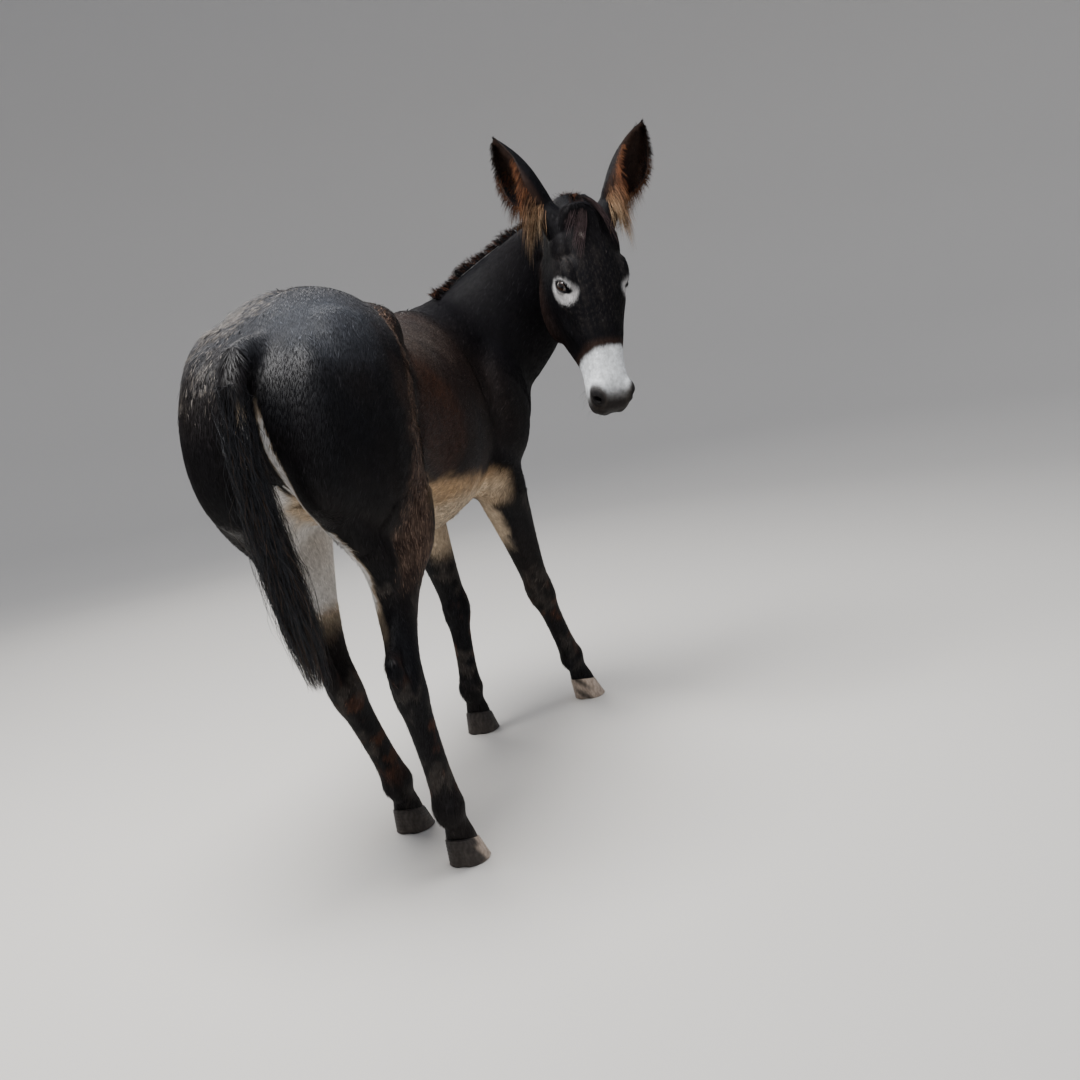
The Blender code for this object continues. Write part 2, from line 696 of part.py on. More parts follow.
def make_slabs():
    """The cuts between head, neck, torso, tail, legs and hooves."""
    slabs = []
    throat, way = head_cut()
    slabs.append(slab("cut_head", throat, way, (0.12, 0.215), HEAD.to_3x3() @ Vector((0, 1, 0))))
    slabs.append(slab("cut_neck", (0.545, -0.03, 1.13), (0.65, -0.30, 0.70), (0.30, 0.34)))
    dock = TAILHEAD + Vector((-0.036, 0, -0.032))
    slabs.append(slab("cut_tail", dock, (-0.80, 0, -0.70), (0.043, 0.044)))
    for hand, sign in (("left", 1), ("right", -1)):
        hind = Vector((-0.40, sign * 0.150 + RUMP_SHIFT, 0.826))
        slabs.append(slab("cut_hind_" + hand, hind, (0.20, -sign * 0.36, 1.0), (0.168, 0.325)))
        fore = Vector((0.47, sign * 0.125, 0.704))
        slabs.append(slab("cut_fore_" + hand, fore, (0.0, -sign * 0.22, 1.0), (0.125, 0.17)))
        for joints in (HIND[hand], FORE[hand]):
            slabs.append(slab("cut_hoof", hoof_top(joints), CORONET_WAY, (0.07, 0.07)))
    return slabs


def cut(thing, tools, operation="DIFFERENCE", solver="EXACT"):
    """Apply one Boolean with a collection of closed meshes, and remove them."""
    group = bpy.data.collections.new("tools")
    bpy.context.scene.collection.children.link(group)
    for tool in tools:
        for owner in list(tool.users_collection):
            owner.objects.unlink(tool)
        group.objects.link(tool)
    boolean = thing.modifiers.new("Boolean", "BOOLEAN")
    boolean.operation = operation
    boolean.operand_type = "COLLECTION"
    boolean.collection = group
    boolean.solver = solver
    bake_modifiers(thing)
    drop(list(group.objects))
    bpy.data.collections.remove(group)


def islands(bm):
    """Connected sets of vertices, the largest first."""
    seen = set()
    found = []
    for start in bm.verts:
        if start.index in seen:
            continue
        seen.add(start.index)
        stack = [start]
        part = []
        while stack:
            vert = stack.pop()
            part.append(vert)
            for edge in vert.link_edges:
                other = edge.other_vert(vert)
                if other.index not in seen:
                    seen.add(other.index)
                    stack.append(other)
        found.append(part)
    return sorted(found, key=len, reverse=True)


def keep_largest(thing):
    """Drop loose scraps, so that one closed surface is left."""
    bm = bmesh.new()
    bm.from_mesh(thing.data)
    bm.verts.index_update()
    spare = [vert for part in islands(bm)[1:] for vert in part]
    bmesh.ops.delete(bm, geom=spare, context="VERTS")
    bmesh.ops.triangulate(bm, faces=bm.faces)
    bm.to_mesh(thing.data)
    bm.free()


def seeds():
    """A point inside each node, to tell the cut pieces apart."""
    points = {
        "head": on_head(0.30, 0, -0.10),
        "neck": Vector((0.62, -0.20, 1.24)),
        "torso": Vector((0.0, 0.0, 1.0)),
        "tail": TAILHEAD + Vector((-0.070, 0, -0.25)),
    }
    for hand in ("left", "right"):
        points["leg_hind_" + hand] = Vector(HIND[hand]["hock"])
        points["leg_fore_" + hand] = Vector(FORE[hand]["knee"])
    return points


def part_flesh(body):
    """Cut the body and make one object of each piece that holds a seed point."""
    cut(body, make_slabs(), solver="MANIFOLD")
    bm = bmesh.new()
    bm.from_mesh(body.data)
    bm.verts.index_update()
    bm.verts.ensure_lookup_table()
    pieces = {}
    parts = islands(bm)
    for name, seed in seeds().items():
        near = min(range(len(parts)), key=lambda index: min(
            (vert.co - seed).length for vert in parts[index][::25] + parts[index][:1]))
        keep = set(vert.index for vert in parts[near])
        copy = bm.copy()
        copy.verts.ensure_lookup_table()
        bmesh.ops.delete(copy, geom=[v for v in copy.verts if v.index not in keep], context="VERTS")
        pieces[name] = object_from(name, copy)
    bm.free()
    drop([body])
    return pieces


def thin_out(thing, faces):
    """Fewer, larger faces where the form is plain."""
    bm = bmesh.new()
    bm.from_mesh(thing.data)
    bmesh.ops.triangulate(bm, faces=bm.faces)
    bm.to_mesh(thing.data)
    bm.free()
    decimate = thing.modifiers.new("Fewer", "DECIMATE")
    decimate.ratio = min(1.0, faces / len(thing.data.polygons))
    bake_modifiers(thing)


def make_hoof(name, joints):
    """A hoof with a flat sole, a sloping toe and an upright heel."""
    sole = Vector(joints["hoof"])
    crown = hoof_top(joints)
    normal = CORONET_WAY
    sides = 24
    rings = []
    for level in (0.0, 0.08, 0.92, 1.0):
        inset = 0.0025 if level in (0.0, 1.0) else 0.0
        ring = []
        for step in range(sides):
            angle = 2 * math.pi * step / sides
            c, s = squared(angle, 2.3)
            taper = 1 + (HOOF_TAPER - 1) * level
            heel = 0.88 if c < 0 else 1.0
            x = c * (HOOF_HALF_LENGTH * taper - inset) * heel
            y = s * (HOOF_HALF_WIDTH * taper - inset) * (1 - 0.10 * max(0.0, -c))
            middle = sole.lerp(crown, level)
            lift = -(normal.x * x) / normal.z * level
            top = middle.z + lift - (GAP * 0.5 / normal.z) * (1 if level == 1.0 else 0)
            ring.append(Vector((middle.x + x, middle.y + y, top)))
        rings.append(ring)
    bm = bmesh.new()
    bridge_rings(bm, rings)
    bmesh.ops.triangulate(bm, faces=bm.faces)
    return object_from(name, bm)


def make_eye(name, sign):
    bm = bmesh.new()
    bmesh.ops.create_uvsphere(bm, u_segments=14, v_segments=8, radius=EYE_RADIUS)
    place = Matrix.Translation(on_head(EYE_ALONG, sign * EYE_ASIDE, -EYE_BELOW)) @ head_turn()
    bmesh.ops.transform(bm, matrix=place, verts=bm.verts)
    bmesh.ops.triangulate(bm, faces=bm.faces)
    return object_from(name, bm)


def eye_outward(sign):
    """The way an eye looks: aside and a little forward."""
    return (HEAD.to_3x3() @ Vector((0.10, sign * 1.0, 0.62))).normalized()


def lid_axes(sign):
    """Along the slit between the lids, down towards the nose, and across it, upward."""
    look = eye_outward(sign)
    slit = HEAD.to_3x3() @ Vector((1.0, -sign * 0.35, 0.50))
    slit = (slit - look * slit.dot(look)).normalized()
    rise = look.cross(slit)
    if rise.dot(HEAD.to_3x3() @ Vector((-1, 0, 1))) < 0:
        rise = -rise
    return slit, rise


def make_lid(sign, upper):
    """A lid as a tapered roll over the eyeball, upper or lower."""
    look = eye_outward(sign)
    centre = on_head(EYE_ALONG, sign * EYE_ASIDE, -EYE_BELOW)
    slit, rise = lid_axes(sign)
    open_up = 0.30 if upper else -0.42
    rows = []
    steps = 8
    for step in range(steps + 1):
        t = step / steps
        swing = math.radians(-82 + 164 * t)
        height = math.sin(math.pi * t) * open_up
        way = look * math.cos(swing) * math.cos(height) + slit * math.sin(swing) + rise * math.sin(height)
        way.normalize()
        point = centre + way * (EYE_RADIUS + LID_THICK * 0.35)
        thick = LID_THICK * (0.55 + 0.45 * math.sin(math.pi * t))
        rows.append((*point, thick * 1.5, thick, *way))
    return limb("lid", rows, sides=6, steps=1)


def mouth_cutter():
    """A thin wedge round the muzzle that leaves the line of the mouth."""
    bm = bmesh.new()
    top = []
    bottom = []
    count = 12
    for step in range(count + 1):
        t = -1 + 2 * step / count
        along = 0.492 + 0.140 * (1 - abs(t) ** 2.6)
        aside = 0.085 * t
        out = -0.112 + 0.012 * (1 - abs(t) ** 2) - 0.006 * abs(t)
        top.append(bm.verts.new(on_head(along, aside, out + 0.0016)))
        bottom.append(bm.verts.new(on_head(along, aside, out - 0.0016)))
    inner_top = []
    inner_bottom = []
    for step in range(count + 1):
        t = -1 + 2 * step / count
        along = 0.492 + 0.082 * (1 - abs(t) ** 2.6)
        aside = 0.042 * t if abs(t) < 1 else 0.085 * t
        out = -0.112 + 0.010 * (1 - abs(t) ** 2) - 0.006 * abs(t)
        inner_top.append(bm.verts.new(on_head(along - 0.004, aside, out + 0.0009)))
        inner_bottom.append(bm.verts.new(on_head(along - 0.004, aside, out - 0.0009)))
    for step in range(count):
        after = step + 1
        bm.faces.new((top[step], top[after], bottom[after], bottom[step]))
        bm.faces.new((inner_top[step], inner_bottom[step], inner_bottom[after], inner_top[after]))
        bm.faces.new((top[step], inner_top[step], inner_top[after], top[after]))
        bm.faces.new((bottom[step], bottom[after], inner_bottom[after], inner_bottom[step]))
    for end in (0, count):
        bm.faces.new((top[end], bottom[end], inner_bottom[end], inner_top[end]))
    return object_from("mouth", bm)


def nostril_cutters():
    """Comma-shaped hollows of the nostrils."""
    cutters = []
    for sign in (1, -1):
        way = HEAD.to_3x3() @ Vector((0.55, sign * 0.75, 0.25))
        start = on_head(0.566, sign * 0.052, -0.052)
        rows = []
        for t, wide in ((-0.030, 0.005), (-0.018, 0.010), (0.0, 0.0140), (0.020, 0.016)):
            point = start + way * t
            rows.append((*point, wide * 0.62, wide, *(HEAD.to_3x3() @ Vector((0.8, 0, 0.6)))))
        cutters.append(limb("nostril", rows, sides=8, steps=1))
    return cutters


EAR_WAYS = {
    "right": (Vector((0.00, 0.44, 0.88)), Vector((-0.70, 0.62, 0.10))),
    "left": (Vector((0.22, -0.46, 0.85)), Vector((-0.72, -0.66, 0.10))),
}


def ear_frame(hand):
    """Origin at the ear's base, Z up the ear and X out of its cup."""
    sign = 1 if hand == "left" else -1
    base = on_head(EAR_BASE_ALONG, sign * EAR_BASE_ASIDE, -EAR_BASE_BELOW)
    up = EAR_WAYS[hand][0].normalized()
    cup = EAR_WAYS[hand][1]
    cup = (cup - up * cup.dot(up)).normalized()
    side = up.cross(cup)
    turn = Matrix((cup, side, up)).transposed().to_4x4()
    return Matrix.Translation(base + up * EAR_STUMP) @ turn


def ear_half_width(t):
    """Half width of the ear's leaf, from its tube-like base to its tip."""
    if t < EAR_WIDEST:
        share = EAR_FOOT + (1 - EAR_FOOT) * math.sin(math.pi / 2 * t / EAR_WIDEST)
    else:
        share = max(0.0, math.cos(math.pi / 2 * (t - EAR_WIDEST) / (1 - EAR_WIDEST))) ** 0.8
    return EAR_WIDTH / 2 * share + 0.001


def ear_point(hand, t, angle, radius, length):
    """A point on the ear: t up its length, angle round its rolled section."""
    bend = 0.018 * math.sin(math.pi * t * 0.9)
    bow = EAR_BOW * math.sin(math.pi * t) * (1 if hand == "left" else -1)
    return Vector((bend - radius * math.cos(angle), bow + radius * math.sin(angle), length * t))


def ear_section(t):
    """Half width, radius, half angle and shell of the ear's rolled section at t."""
    half = ear_half_width(t)
    roll = math.radians(158 - 66 * min(1.0, t * 1.5))
    radius = half / math.sin(min(roll, math.pi / 2))
    return half, radius, roll, min(EAR_SHELL, radius * 0.55)


def make_ear(hand):
    """A rolled leaf with an open cup, closed round at its foot."""
    place = ear_frame(hand)
    steps = 12
    arc = 8
    rings = []
    for step in range(steps + 1):
        t = step / steps
        radius, roll, shell = ear_section(t)[1:]
        inner = radius - shell
        outer_arc = []
        inner_arc = []
        for index in range(arc + 1):
            angle = roll * (-1 + 2 * index / arc)
            outer_arc.append(place @ ear_point(hand, t, angle, radius, EAR_LENGTH - EAR_STUMP))
            inner_arc.append(place @ ear_point(hand, t, angle, inner, EAR_LENGTH - EAR_STUMP))
        rings.append(outer_arc + list(reversed(inner_arc)))
    bm = bmesh.new()
    bridge_rings(bm, rings)
    bmesh.ops.triangulate(bm, faces=bm.faces)
    return object_from("ear_" + hand, bm)


def make_ear_stump(hand):
    """The root of an ear: a short cone out of the head, flat on top."""
    place = ear_frame(hand)
    rings = []
    for depth, radius in ((-0.085, 0.028), (-0.040, 0.033), (-GAP, 0.0305)):
        ring = []
        for step in range(16):
            angle = 2 * math.pi * step / 16
            ring.append(place @ Vector((radius * math.cos(angle), radius * math.sin(angle), depth)))
        rings.append(ring)
    bm = bmesh.new()
    bridge_rings(bm, rings)
    bmesh.ops.triangulate(bm, faces=bm.faces)
    return object_from("ear_root", bm)


def finish_head(head):
    """Lids, ear roots, sockets, nostrils and the line of the mouth."""
    added = [make_lid(sign, upper) for sign in (1, -1) for upper in (True, False)]
    added += [make_ear_stump(hand) for hand in ("left", "right")]
    cut(head, added, "UNION")
    sockets = []
    for sign in (1, -1):
        socket = make_eye("socket", sign)
        centre = on_head(EYE_ALONG, sign * EYE_ASIDE, -EYE_BELOW)
        for vert in socket.data.vertices:
            vert.co = centre + (vert.co - centre) * (1 + 1.6 * GAP / EYE_RADIUS)
        sockets.append(socket)
    cut(head, sockets + nostril_cutters() + [mouth_cutter()])
    keep_largest(head)


def paint(objects):
    """Give each node its own material."""
    colours = {"eye": (EYE_DARK, 0.08), "hoof": (HORN, 0.55)}
    for thing in objects:
        kind = thing.name.split("_")[0]
        colour, roughness = colours.get(kind, (COAT_BLACK, 0.6))
        thing.data.materials.clear()
        thing.data.materials.append(make_material(thing.name, colour, roughness))


def centre_on_floor(objects):
    """Move all nodes so that the box's middle is over the origin and its foot on the floor."""
    low = Vector((9, 9, 9))
    high = Vector((-9, -9, -9))
    for thing in objects:
        for vert in thing.data.vertices:
            for axis in range(3):
                low[axis] = min(low[axis], vert.co[axis])
                high[axis] = max(high[axis], vert.co[axis])
    shift = Vector((-(low.x + high.x) / 2, -(low.y + high.y) / 2, -low.z))
    for thing in objects:
        thing.data.transform(Matrix.Translation(shift))


def shade(objects):
    for thing in objects:
        thing.data.shade_smooth()
        thing.data.set_sharp_from_angle(angle=math.radians(50))


def main():
    clear_scene()
    pieces = part_flesh(fuse_flesh())
    for name, thing in pieces.items():
        thin_out(thing, BUDGET[name])
    finish_head(pieces["head"])
    nodes = list(pieces.values())
    for hand, sign in (("left", 1), ("right", -1)):
        ear = make_ear(hand)
        cut(ear, ear_locks(hand), "UNION", "MANIFOLD")
        keep_largest(ear)
        nodes.append(ear)
        nodes.append(make_eye("eye_" + hand, sign))
        nodes.append(make_hoof("hoof_hind_" + hand, HIND[hand]))
        nodes.append(make_hoof("hoof_fore_" + hand, FORE[hand]))
    for name, locks in (("tail", tail_locks()), ("neck", mane_locks()), ("head", forelock_locks())):
        cut(pieces[name], locks, "UNION", "MANIFOLD")
        keep_largest(pieces[name])
    paint(nodes)
    shade(nodes)
    centre_on_floor(nodes)


main()
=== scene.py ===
"""Looks of a young black donkey: one skin under a coat of solid tufts, eyes, hooves, floor and light.

Everything is shaped in the animal's own frame, with +X forward, +Y to its left and +Z up, and is
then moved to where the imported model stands.
"""

import json
import math

import bmesh
import bpy
import numpy as np
from mathutils import Matrix, Vector

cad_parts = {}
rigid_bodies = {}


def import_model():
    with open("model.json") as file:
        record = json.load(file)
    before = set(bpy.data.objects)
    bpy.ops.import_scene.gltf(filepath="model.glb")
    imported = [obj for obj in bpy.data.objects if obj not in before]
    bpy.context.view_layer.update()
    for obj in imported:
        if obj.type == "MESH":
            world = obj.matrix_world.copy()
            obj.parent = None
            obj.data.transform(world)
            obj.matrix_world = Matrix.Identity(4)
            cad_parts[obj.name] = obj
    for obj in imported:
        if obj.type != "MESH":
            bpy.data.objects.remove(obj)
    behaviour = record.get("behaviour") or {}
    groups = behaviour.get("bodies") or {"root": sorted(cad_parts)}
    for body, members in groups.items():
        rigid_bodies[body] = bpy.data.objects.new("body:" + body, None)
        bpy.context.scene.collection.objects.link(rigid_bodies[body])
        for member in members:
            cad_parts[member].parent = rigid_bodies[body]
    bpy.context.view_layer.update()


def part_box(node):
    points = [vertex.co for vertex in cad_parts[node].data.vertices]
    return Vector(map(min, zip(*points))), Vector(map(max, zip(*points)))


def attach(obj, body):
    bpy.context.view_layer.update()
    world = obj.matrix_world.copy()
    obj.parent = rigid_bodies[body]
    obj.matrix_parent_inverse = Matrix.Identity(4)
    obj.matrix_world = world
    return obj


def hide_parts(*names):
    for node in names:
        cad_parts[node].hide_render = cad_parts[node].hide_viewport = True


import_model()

HANDS = (("left", 1), ("right", -1))

# Heights and reaches of the trunk (metres)
CROUP_Z = 1.325
CROUP_X = -0.35
BACK_Z = 1.225
WITHERS_Z = 1.255
WITHERS_X = 0.36
TAILHEAD = Vector((-0.660, -0.030, 1.195))
STERNUM_Z = 0.692
BELLY_Z = 0.692
RUMP_SHIFT = -0.020

# Head: its poll, the line down the face and the way the forehead looks
POLL = Vector((0.4275, -0.525, 1.437))
FACE_LINE = Vector((-0.185, -0.094, -0.978))
FOREHEAD_WAY = Vector((-0.756, -0.622, 0.202))
HEAD_LENGTH = 0.530
TABLE_LENGTH = 0.6
EYE_RADIUS = 0.0215
EYE_ALONG = 0.222
EYE_ASIDE = 0.081
EYE_BELOW = 0.044

# Mouth: half width of its wedge, and rows across it
MOUTH_WIDE = 0.085
MOUTH_STEPS = 12

# Ears
EAR_LENGTH = 0.288
EAR_WIDTH = 0.101
EAR_BOW = 0.009
EAR_SHELL = 0.005
EAR_BASE_ALONG = 0.042
EAR_BASE_ASIDE = 0.066
EAR_BASE_BELOW = 0.050
EAR_STUMP = 0.055
EAR_WIDEST = 0.42
EAR_FOOT = 0.54

# Feet
HOOF_HEIGHT = 0.062
HOOF_HALF_LENGTH = 0.056
HOOF_HALF_WIDTH = 0.046
HOOF_TAPER = 0.80
CORONET_WAY = Vector((0.24, 0.0, 1.0)).normalized()

# Making of the skin
VOXEL = 0.0055
SMOOTH_PASSES = 90
SIDES = 20
STEPS = 5
SEED = 11

# How far the skin lies inside the solids
COAT_DEPTH = 0.004
FINE_DEPTH = 0.0015

# Camera: place beside the animal, turns in degrees, lens in millimetres
CAMERA_PLACE = Vector((-3.11, -1.31, 1.15))
CAMERA_PITCH = 8.9
CAMERA_ROLL = -9.5
CAMERA_YAW = -73.4
CAMERA_LENS = 45.0

# Coat colours
BLACK = (0.0034, 0.0034, 0.0046)
BROWN_BLACK = (0.0100, 0.0072, 0.0066)
CHOCOLATE = (0.034, 0.019, 0.014)
# Blue-grey of a painted sheen: the sky's reflection on the glossy hair of the croup
PAINTED_SHEEN = (0.036, 0.040, 0.049)
EDGE_BROWN = (0.125, 0.082, 0.060)
# Mauve of a painted sheen on the tips of the forelock's hair
MAUVE_SHEEN = (0.060, 0.040, 0.042)
EYE_RING = (0.54, 0.53, 0.53)
RUST = (0.110, 0.038, 0.016)
ORANGE = (0.250, 0.118, 0.054)
BLOND = (0.430, 0.320, 0.205)
DUSTY = (0.190, 0.160, 0.135)
FROST = (0.340, 0.310, 0.280)
TAN = (0.400, 0.260, 0.140)
CREAM = (0.560, 0.440, 0.310)
WHITE = (0.740, 0.765, 0.790)
TAIL_TIP = (0.026, 0.027, 0.031)
NOSE_GREY = (0.038, 0.031, 0.027)
HORN_DARK = (0.022, 0.019, 0.018)
HORN_PALE = (0.46, 0.37, 0.30)
EYE_WHITE = (0.10, 0.075, 0.060)
IRIS = (0.030, 0.014, 0.007)
PUPIL = (0.003, 0.003, 0.004)

# Patches of colour: place, reach, raggedness and the seed of its waves
PATCHES = {
    # Over the loin: a painted highlight in a dusty tone, for the strong light on the top of the back
    "loin": ((-0.08, -0.05, 1.22), (0.32, 0.22, 0.15), 0.35, 12),
    # Painted shade in the hollow of the right flank
    "hollow_shade": ((-0.10, -0.21, 0.93), (0.13, 0.12, 0.10), 0.25, 18),
    # Where the painted blue-grey sheen lies on the right rump
    "rump": ((-0.50, -0.15, 1.20), (0.12, 0.12, 0.12), 0.15, 15),
    "thigh": ((-0.36, -0.20, 1.03), (0.12, 0.10, 0.14), 0.35, 16),
    "flank_right": ((-0.06, -0.21, 0.99), (0.15, 0.12, 0.16), 0.18, 6),
    "flank_left": ((-0.06, 0.19, 0.99), (0.13, 0.12, 0.14), 0.45, 7),
    "groin": ((-0.24, -0.015, 0.80), (0.17, 0.11, 0.10), 0.1, 11),
    "groin_back": ((-0.42, -0.025, 0.83), (0.15, 0.055, 0.10), 0.1, 17),
    "bleached_top": ((-0.46, 0.075, 1.29), (0.19, 0.12, 0.09), 0.35, 3),
    "bleached_left": ((-0.60, 0.12, 1.16), (0.08, 0.09, 0.12), 0.35, 14),
}

# How pale each hoof's toe is
HOOF_PALE = {"hoof_hind_left": 0.05, "hoof_hind_right": 0.62, "hoof_fore_left": 0.10, "hoof_fore_right": 0.95}

# How far the horn draws in at its lowest and highest rings
HOOF_INSETS = {0.0: 0.0025, 0.015: 0.0010, 0.985: 0.0022, 1.0: 0.0022}

# Parts whose hair shines less than the trunk's
DULL_SLOTS = ("coat_neck", "coat_head", "coat_ear")

# Tufts and locks: sizes in metres and counts of strands
ROOT_SINK = 0.0006
BAKE_PATCH = 0.003
FUR_GRAIN = 420.0
SCRUFF_DENSITY = 11000
SCRUFF_LENGTH = 0.028
SCRUFF_WIDTH = 0.0024
LEG_SCRUFF = 0.62
FACE_SCRUFF = 0.55
STRAND_SIDES = 3
TAIL_STRANDS = 5200
MANE_STRANDS = 2600
MANE_TALL = 0.036
MANE_STEPS = 24
EAR_STRANDS = 3000
LOCK_STRANDS = 13
LOCK_SINK = 0.006
LASHES = 46
LASH_LENGTH = 0.013
LASH_WIDTH = 0.0006
WHISKERS = 90
WHISKER_WIDTH = 0.0005

# Depths down the tail with the radius of its flesh, then of its hair
TAIL_FLESH = ([0.0, 0.08, 0.18, 0.30, 0.42, 0.47], [0.021, 0.021, 0.020, 0.017, 0.012, 0.006])
TAIL_FULL = ([0.0, 0.08, 0.20, 0.42, 0.58, 0.70, 0.74], [0.020, 0.026, 0.031, 0.037, 0.035, 0.020, 0.012])

# Places down the brow with the height of the forelock's bed
CROWN = ([-0.05, 0.0, 0.05, 0.12, 0.20, 0.26], [-0.030, -0.002, 0.010, 0.015, 0.014, 0.008])

# Skin of the ears: how far it lies in, its thinnest shell, its reach, and depth and radius of its root
EAR_SKIN_DEPTH = 0.0008
EAR_THINNEST = 0.0026
EAR_REACH = 0.075
EAR_ROOT = [(-0.110, 0.037), (-0.085, 0.038), (-0.055, 0.037), (-0.025, 0.0345), (-0.005, 0.0310),
            (0.008, 0.0285), (0.015, 0.0230), (0.016, 0.0010)]

# Lids: reach of the slit along, above and below in radians, then each row's share of the way and height
SLIT_LONG = 1.12
SLIT_ABOVE = 0.56
SLIT_BELOW = 0.52
LID_REACH = 1.50
LID_CLEAR = 0.0042
LID_ROWS = [(0.0, 0.0006), (0.0, 0.0026), (0.06, 0.0042), (0.16, 0.0046), (0.24, 0.0034), (0.34, 0.0048),
            (0.60, 0.0042), (1.0, 0.0010), (1.0, -0.0060), (0.5, -0.0060), (0.0, -0.0040)]

# Where the coat's pieces meet along the trunk
LOIN_START = -0.36
CHEST_START = 0.10

# Ribs under the skin, and the groove between the buttocks
RIB_SPACING = 0.052
RIB_HEIGHT = 0.00022
GROOVE_DEPTH = 0.022

# Backdrop: radius and height of each ring of one curved sweep
SWEEP = [(0.02, 0.0), (5.0, 0.0), (7.0, 0.15), (8.4, 0.75), (9.4, 1.9), (9.9, 3.4), (10.0, 8.0)]
FLOOR_COLOUR = (0.60, 0.58, 0.55, 1.0)
SKY_COLOUR = (0.80, 0.86, 1.0, 1.0)
SKY_STRENGTH = 0.55

# Lights: name, place, what it points at, size, power and colour
LIGHTS = [
    ("overhead", (-0.9, 0.5, 4.0), (0, 0, 0.9), 2.2, 330, (1.0, 0.99, 0.97)),
    ("beside", (-3.2, -3.4, 2.6), (0, 0, 0.8), 2.0, 30, (0.95, 0.97, 1.0)),
    ("behind", (3.0, 2.6, 3.0), (0, 0, 0.9), 2.2, 70, (1.0, 0.97, 0.93)),
]

# Forelock: start down and across the face, then end down and across
FORELOCK_ENDS = [
    (-0.050, -0.006, 0.150, -0.052), (-0.046, -0.016, 0.135, -0.060), (-0.052, 0.000, 0.160, -0.046),
    (-0.040, -0.026, 0.100, -0.070), (-0.050, 0.006, 0.120, -0.036), (-0.044, -0.012, 0.170, -0.055),
    (-0.036, 0.016, 0.125, 0.082), (-0.040, 0.010, 0.090, 0.070),
]


def object_from(name, bm):
    bmesh.ops.recalc_face_normals(bm, faces=bm.faces)
    if bm.calc_volume(signed=True) < 0:
        bmesh.ops.reverse_faces(bm, faces=bm.faces)
    mesh = bpy.data.meshes.new(name)
    bm.to_mesh(mesh)
    bm.free()
    thing = bpy.data.objects.new(name, mesh)
    bpy.context.scene.collection.objects.link(thing)
    return thing


def drop(things):
    for thing in things:
        bpy.data.objects.remove(thing, do_unlink=True)


def bake_modifiers(thing):
    """Replace the object's mesh by what its modifiers make of it."""
    bpy.context.view_layer.update()
    graph = bpy.context.evaluated_depsgraph_get()
    mesh = bpy.data.meshes.new_from_object(thing.evaluated_get(graph))
    thing.modifiers.clear()
    thing.data = mesh


def smooth_value(before, here, after, later, t):
    """Catmull-Rom value between here and after."""
    slope_in = (after - before) * 0.5
    slope_out = (later - here) * 0.5
    square = t * t
    cube = square * t
    return (here * (2 * cube - 3 * square + 1) + slope_in * (cube - 2 * square + t)
            + after * (3 * square - 2 * cube) + slope_out * (cube - square))


def smooth_rows(rows, steps):
    """Rows of equal length, with more rows read from a smooth curve through them."""
    out = []
    last = len(rows) - 1
    for index in range(last):
        four = [rows[max(index - 1, 0)], rows[index], rows[index + 1], rows[min(index + 2, last)]]
        for step in range(steps):
            t = step / steps
            out.append([smooth_value(a, b, c, d, t) for a, b, c, d in zip(*four)])
    out.append(list(rows[-1]))
    return out


def join_loops(bm, loops, after_loops):
    """Quads between each loop of vertices and the one after it."""
    count = len(loops[0])
    for near, far in zip(loops, after_loops):
        for index in range(count):
            after = (index + 1) % count
            bm.faces.new((near[index], near[after], far[after], far[index]))


def bridge_rings(bm, rings):
    """Skin rings of points into one closed body with capped ends."""
    loops = [[bm.verts.new(point) for point in ring] for ring in rings]
    join_loops(bm, loops, loops[1:])
    bm.faces.new(list(reversed(loops[0])))
    bm.faces.new(loops[-1])


def squared(angle, power):
    """Cosine and sine of a superellipse."""
    c = math.cos(angle)
    s = math.sin(angle)
    return (math.copysign(abs(c) ** (2 / power), c), math.copysign(abs(s) ** (2 / power), s))


def limb(name, rows, power=2.0, sides=SIDES, steps=STEPS):
    """A tube through rows of x, y, z, half depth, half width and, where it turns, the way across."""
    fine = smooth_rows(rows, steps)
    centres = [Vector(row[:3]) for row in fine]
    bm = bmesh.new()
    rings = []
    for index, row in enumerate(fine):
        along = centres[min(index + 1, len(fine) - 1)] - centres[max(index - 1, 0)]
        along.normalize()
        here = Vector(row[5:8]) if len(row) > 5 else Vector((0, 1, 0))
        across = (here - along * here.dot(along)).normalized()
        front = across.cross(along)
        ring = []
        for step in range(sides):
            c, s = squared(2 * math.pi * step / sides, power)
            ring.append(centres[index] + front * s * row[3] + across * c * row[4])
        rings.append(ring)
    bridge_rings(bm, rings)
    return object_from(name, bm)


def sphere_body(name, segments, radius, place):
    """A sphere moved and stretched by a matrix."""
    bm = bmesh.new()
    bmesh.ops.create_uvsphere(bm, u_segments=segments, v_segments=segments // 2, radius=radius)
    bmesh.ops.transform(bm, matrix=place, verts=bm.verts)
    return object_from(name, bm)


def ball(name, centre, radii, turn=(0.0, 0.0, 0.0)):
    """An ellipsoid turned by degrees about X, Y and Z."""
    spin = Matrix.Rotation(math.radians(turn[2]), 4, "Z")
    spin = spin @ Matrix.Rotation(math.radians(turn[1]), 4, "Y")
    spin = spin @ Matrix.Rotation(math.radians(turn[0]), 4, "X")
    return sphere_body(name, 24, 1.0, Matrix.Translation(centre) @ spin @ Matrix.Diagonal((*radii, 1.0)))


def rump_shift(x):
    """The spine swings a little to the right towards the tail."""
    return RUMP_SHIFT * min(max((0.1 - x) / 0.7, 0.0), 1.0)


# The right shoulder is carried out and forward by its stretched leg
SHOULDER_REACH = {"left": (0.0, 0.0, 0.0), "right": (0.044, -0.056, 0.0)}


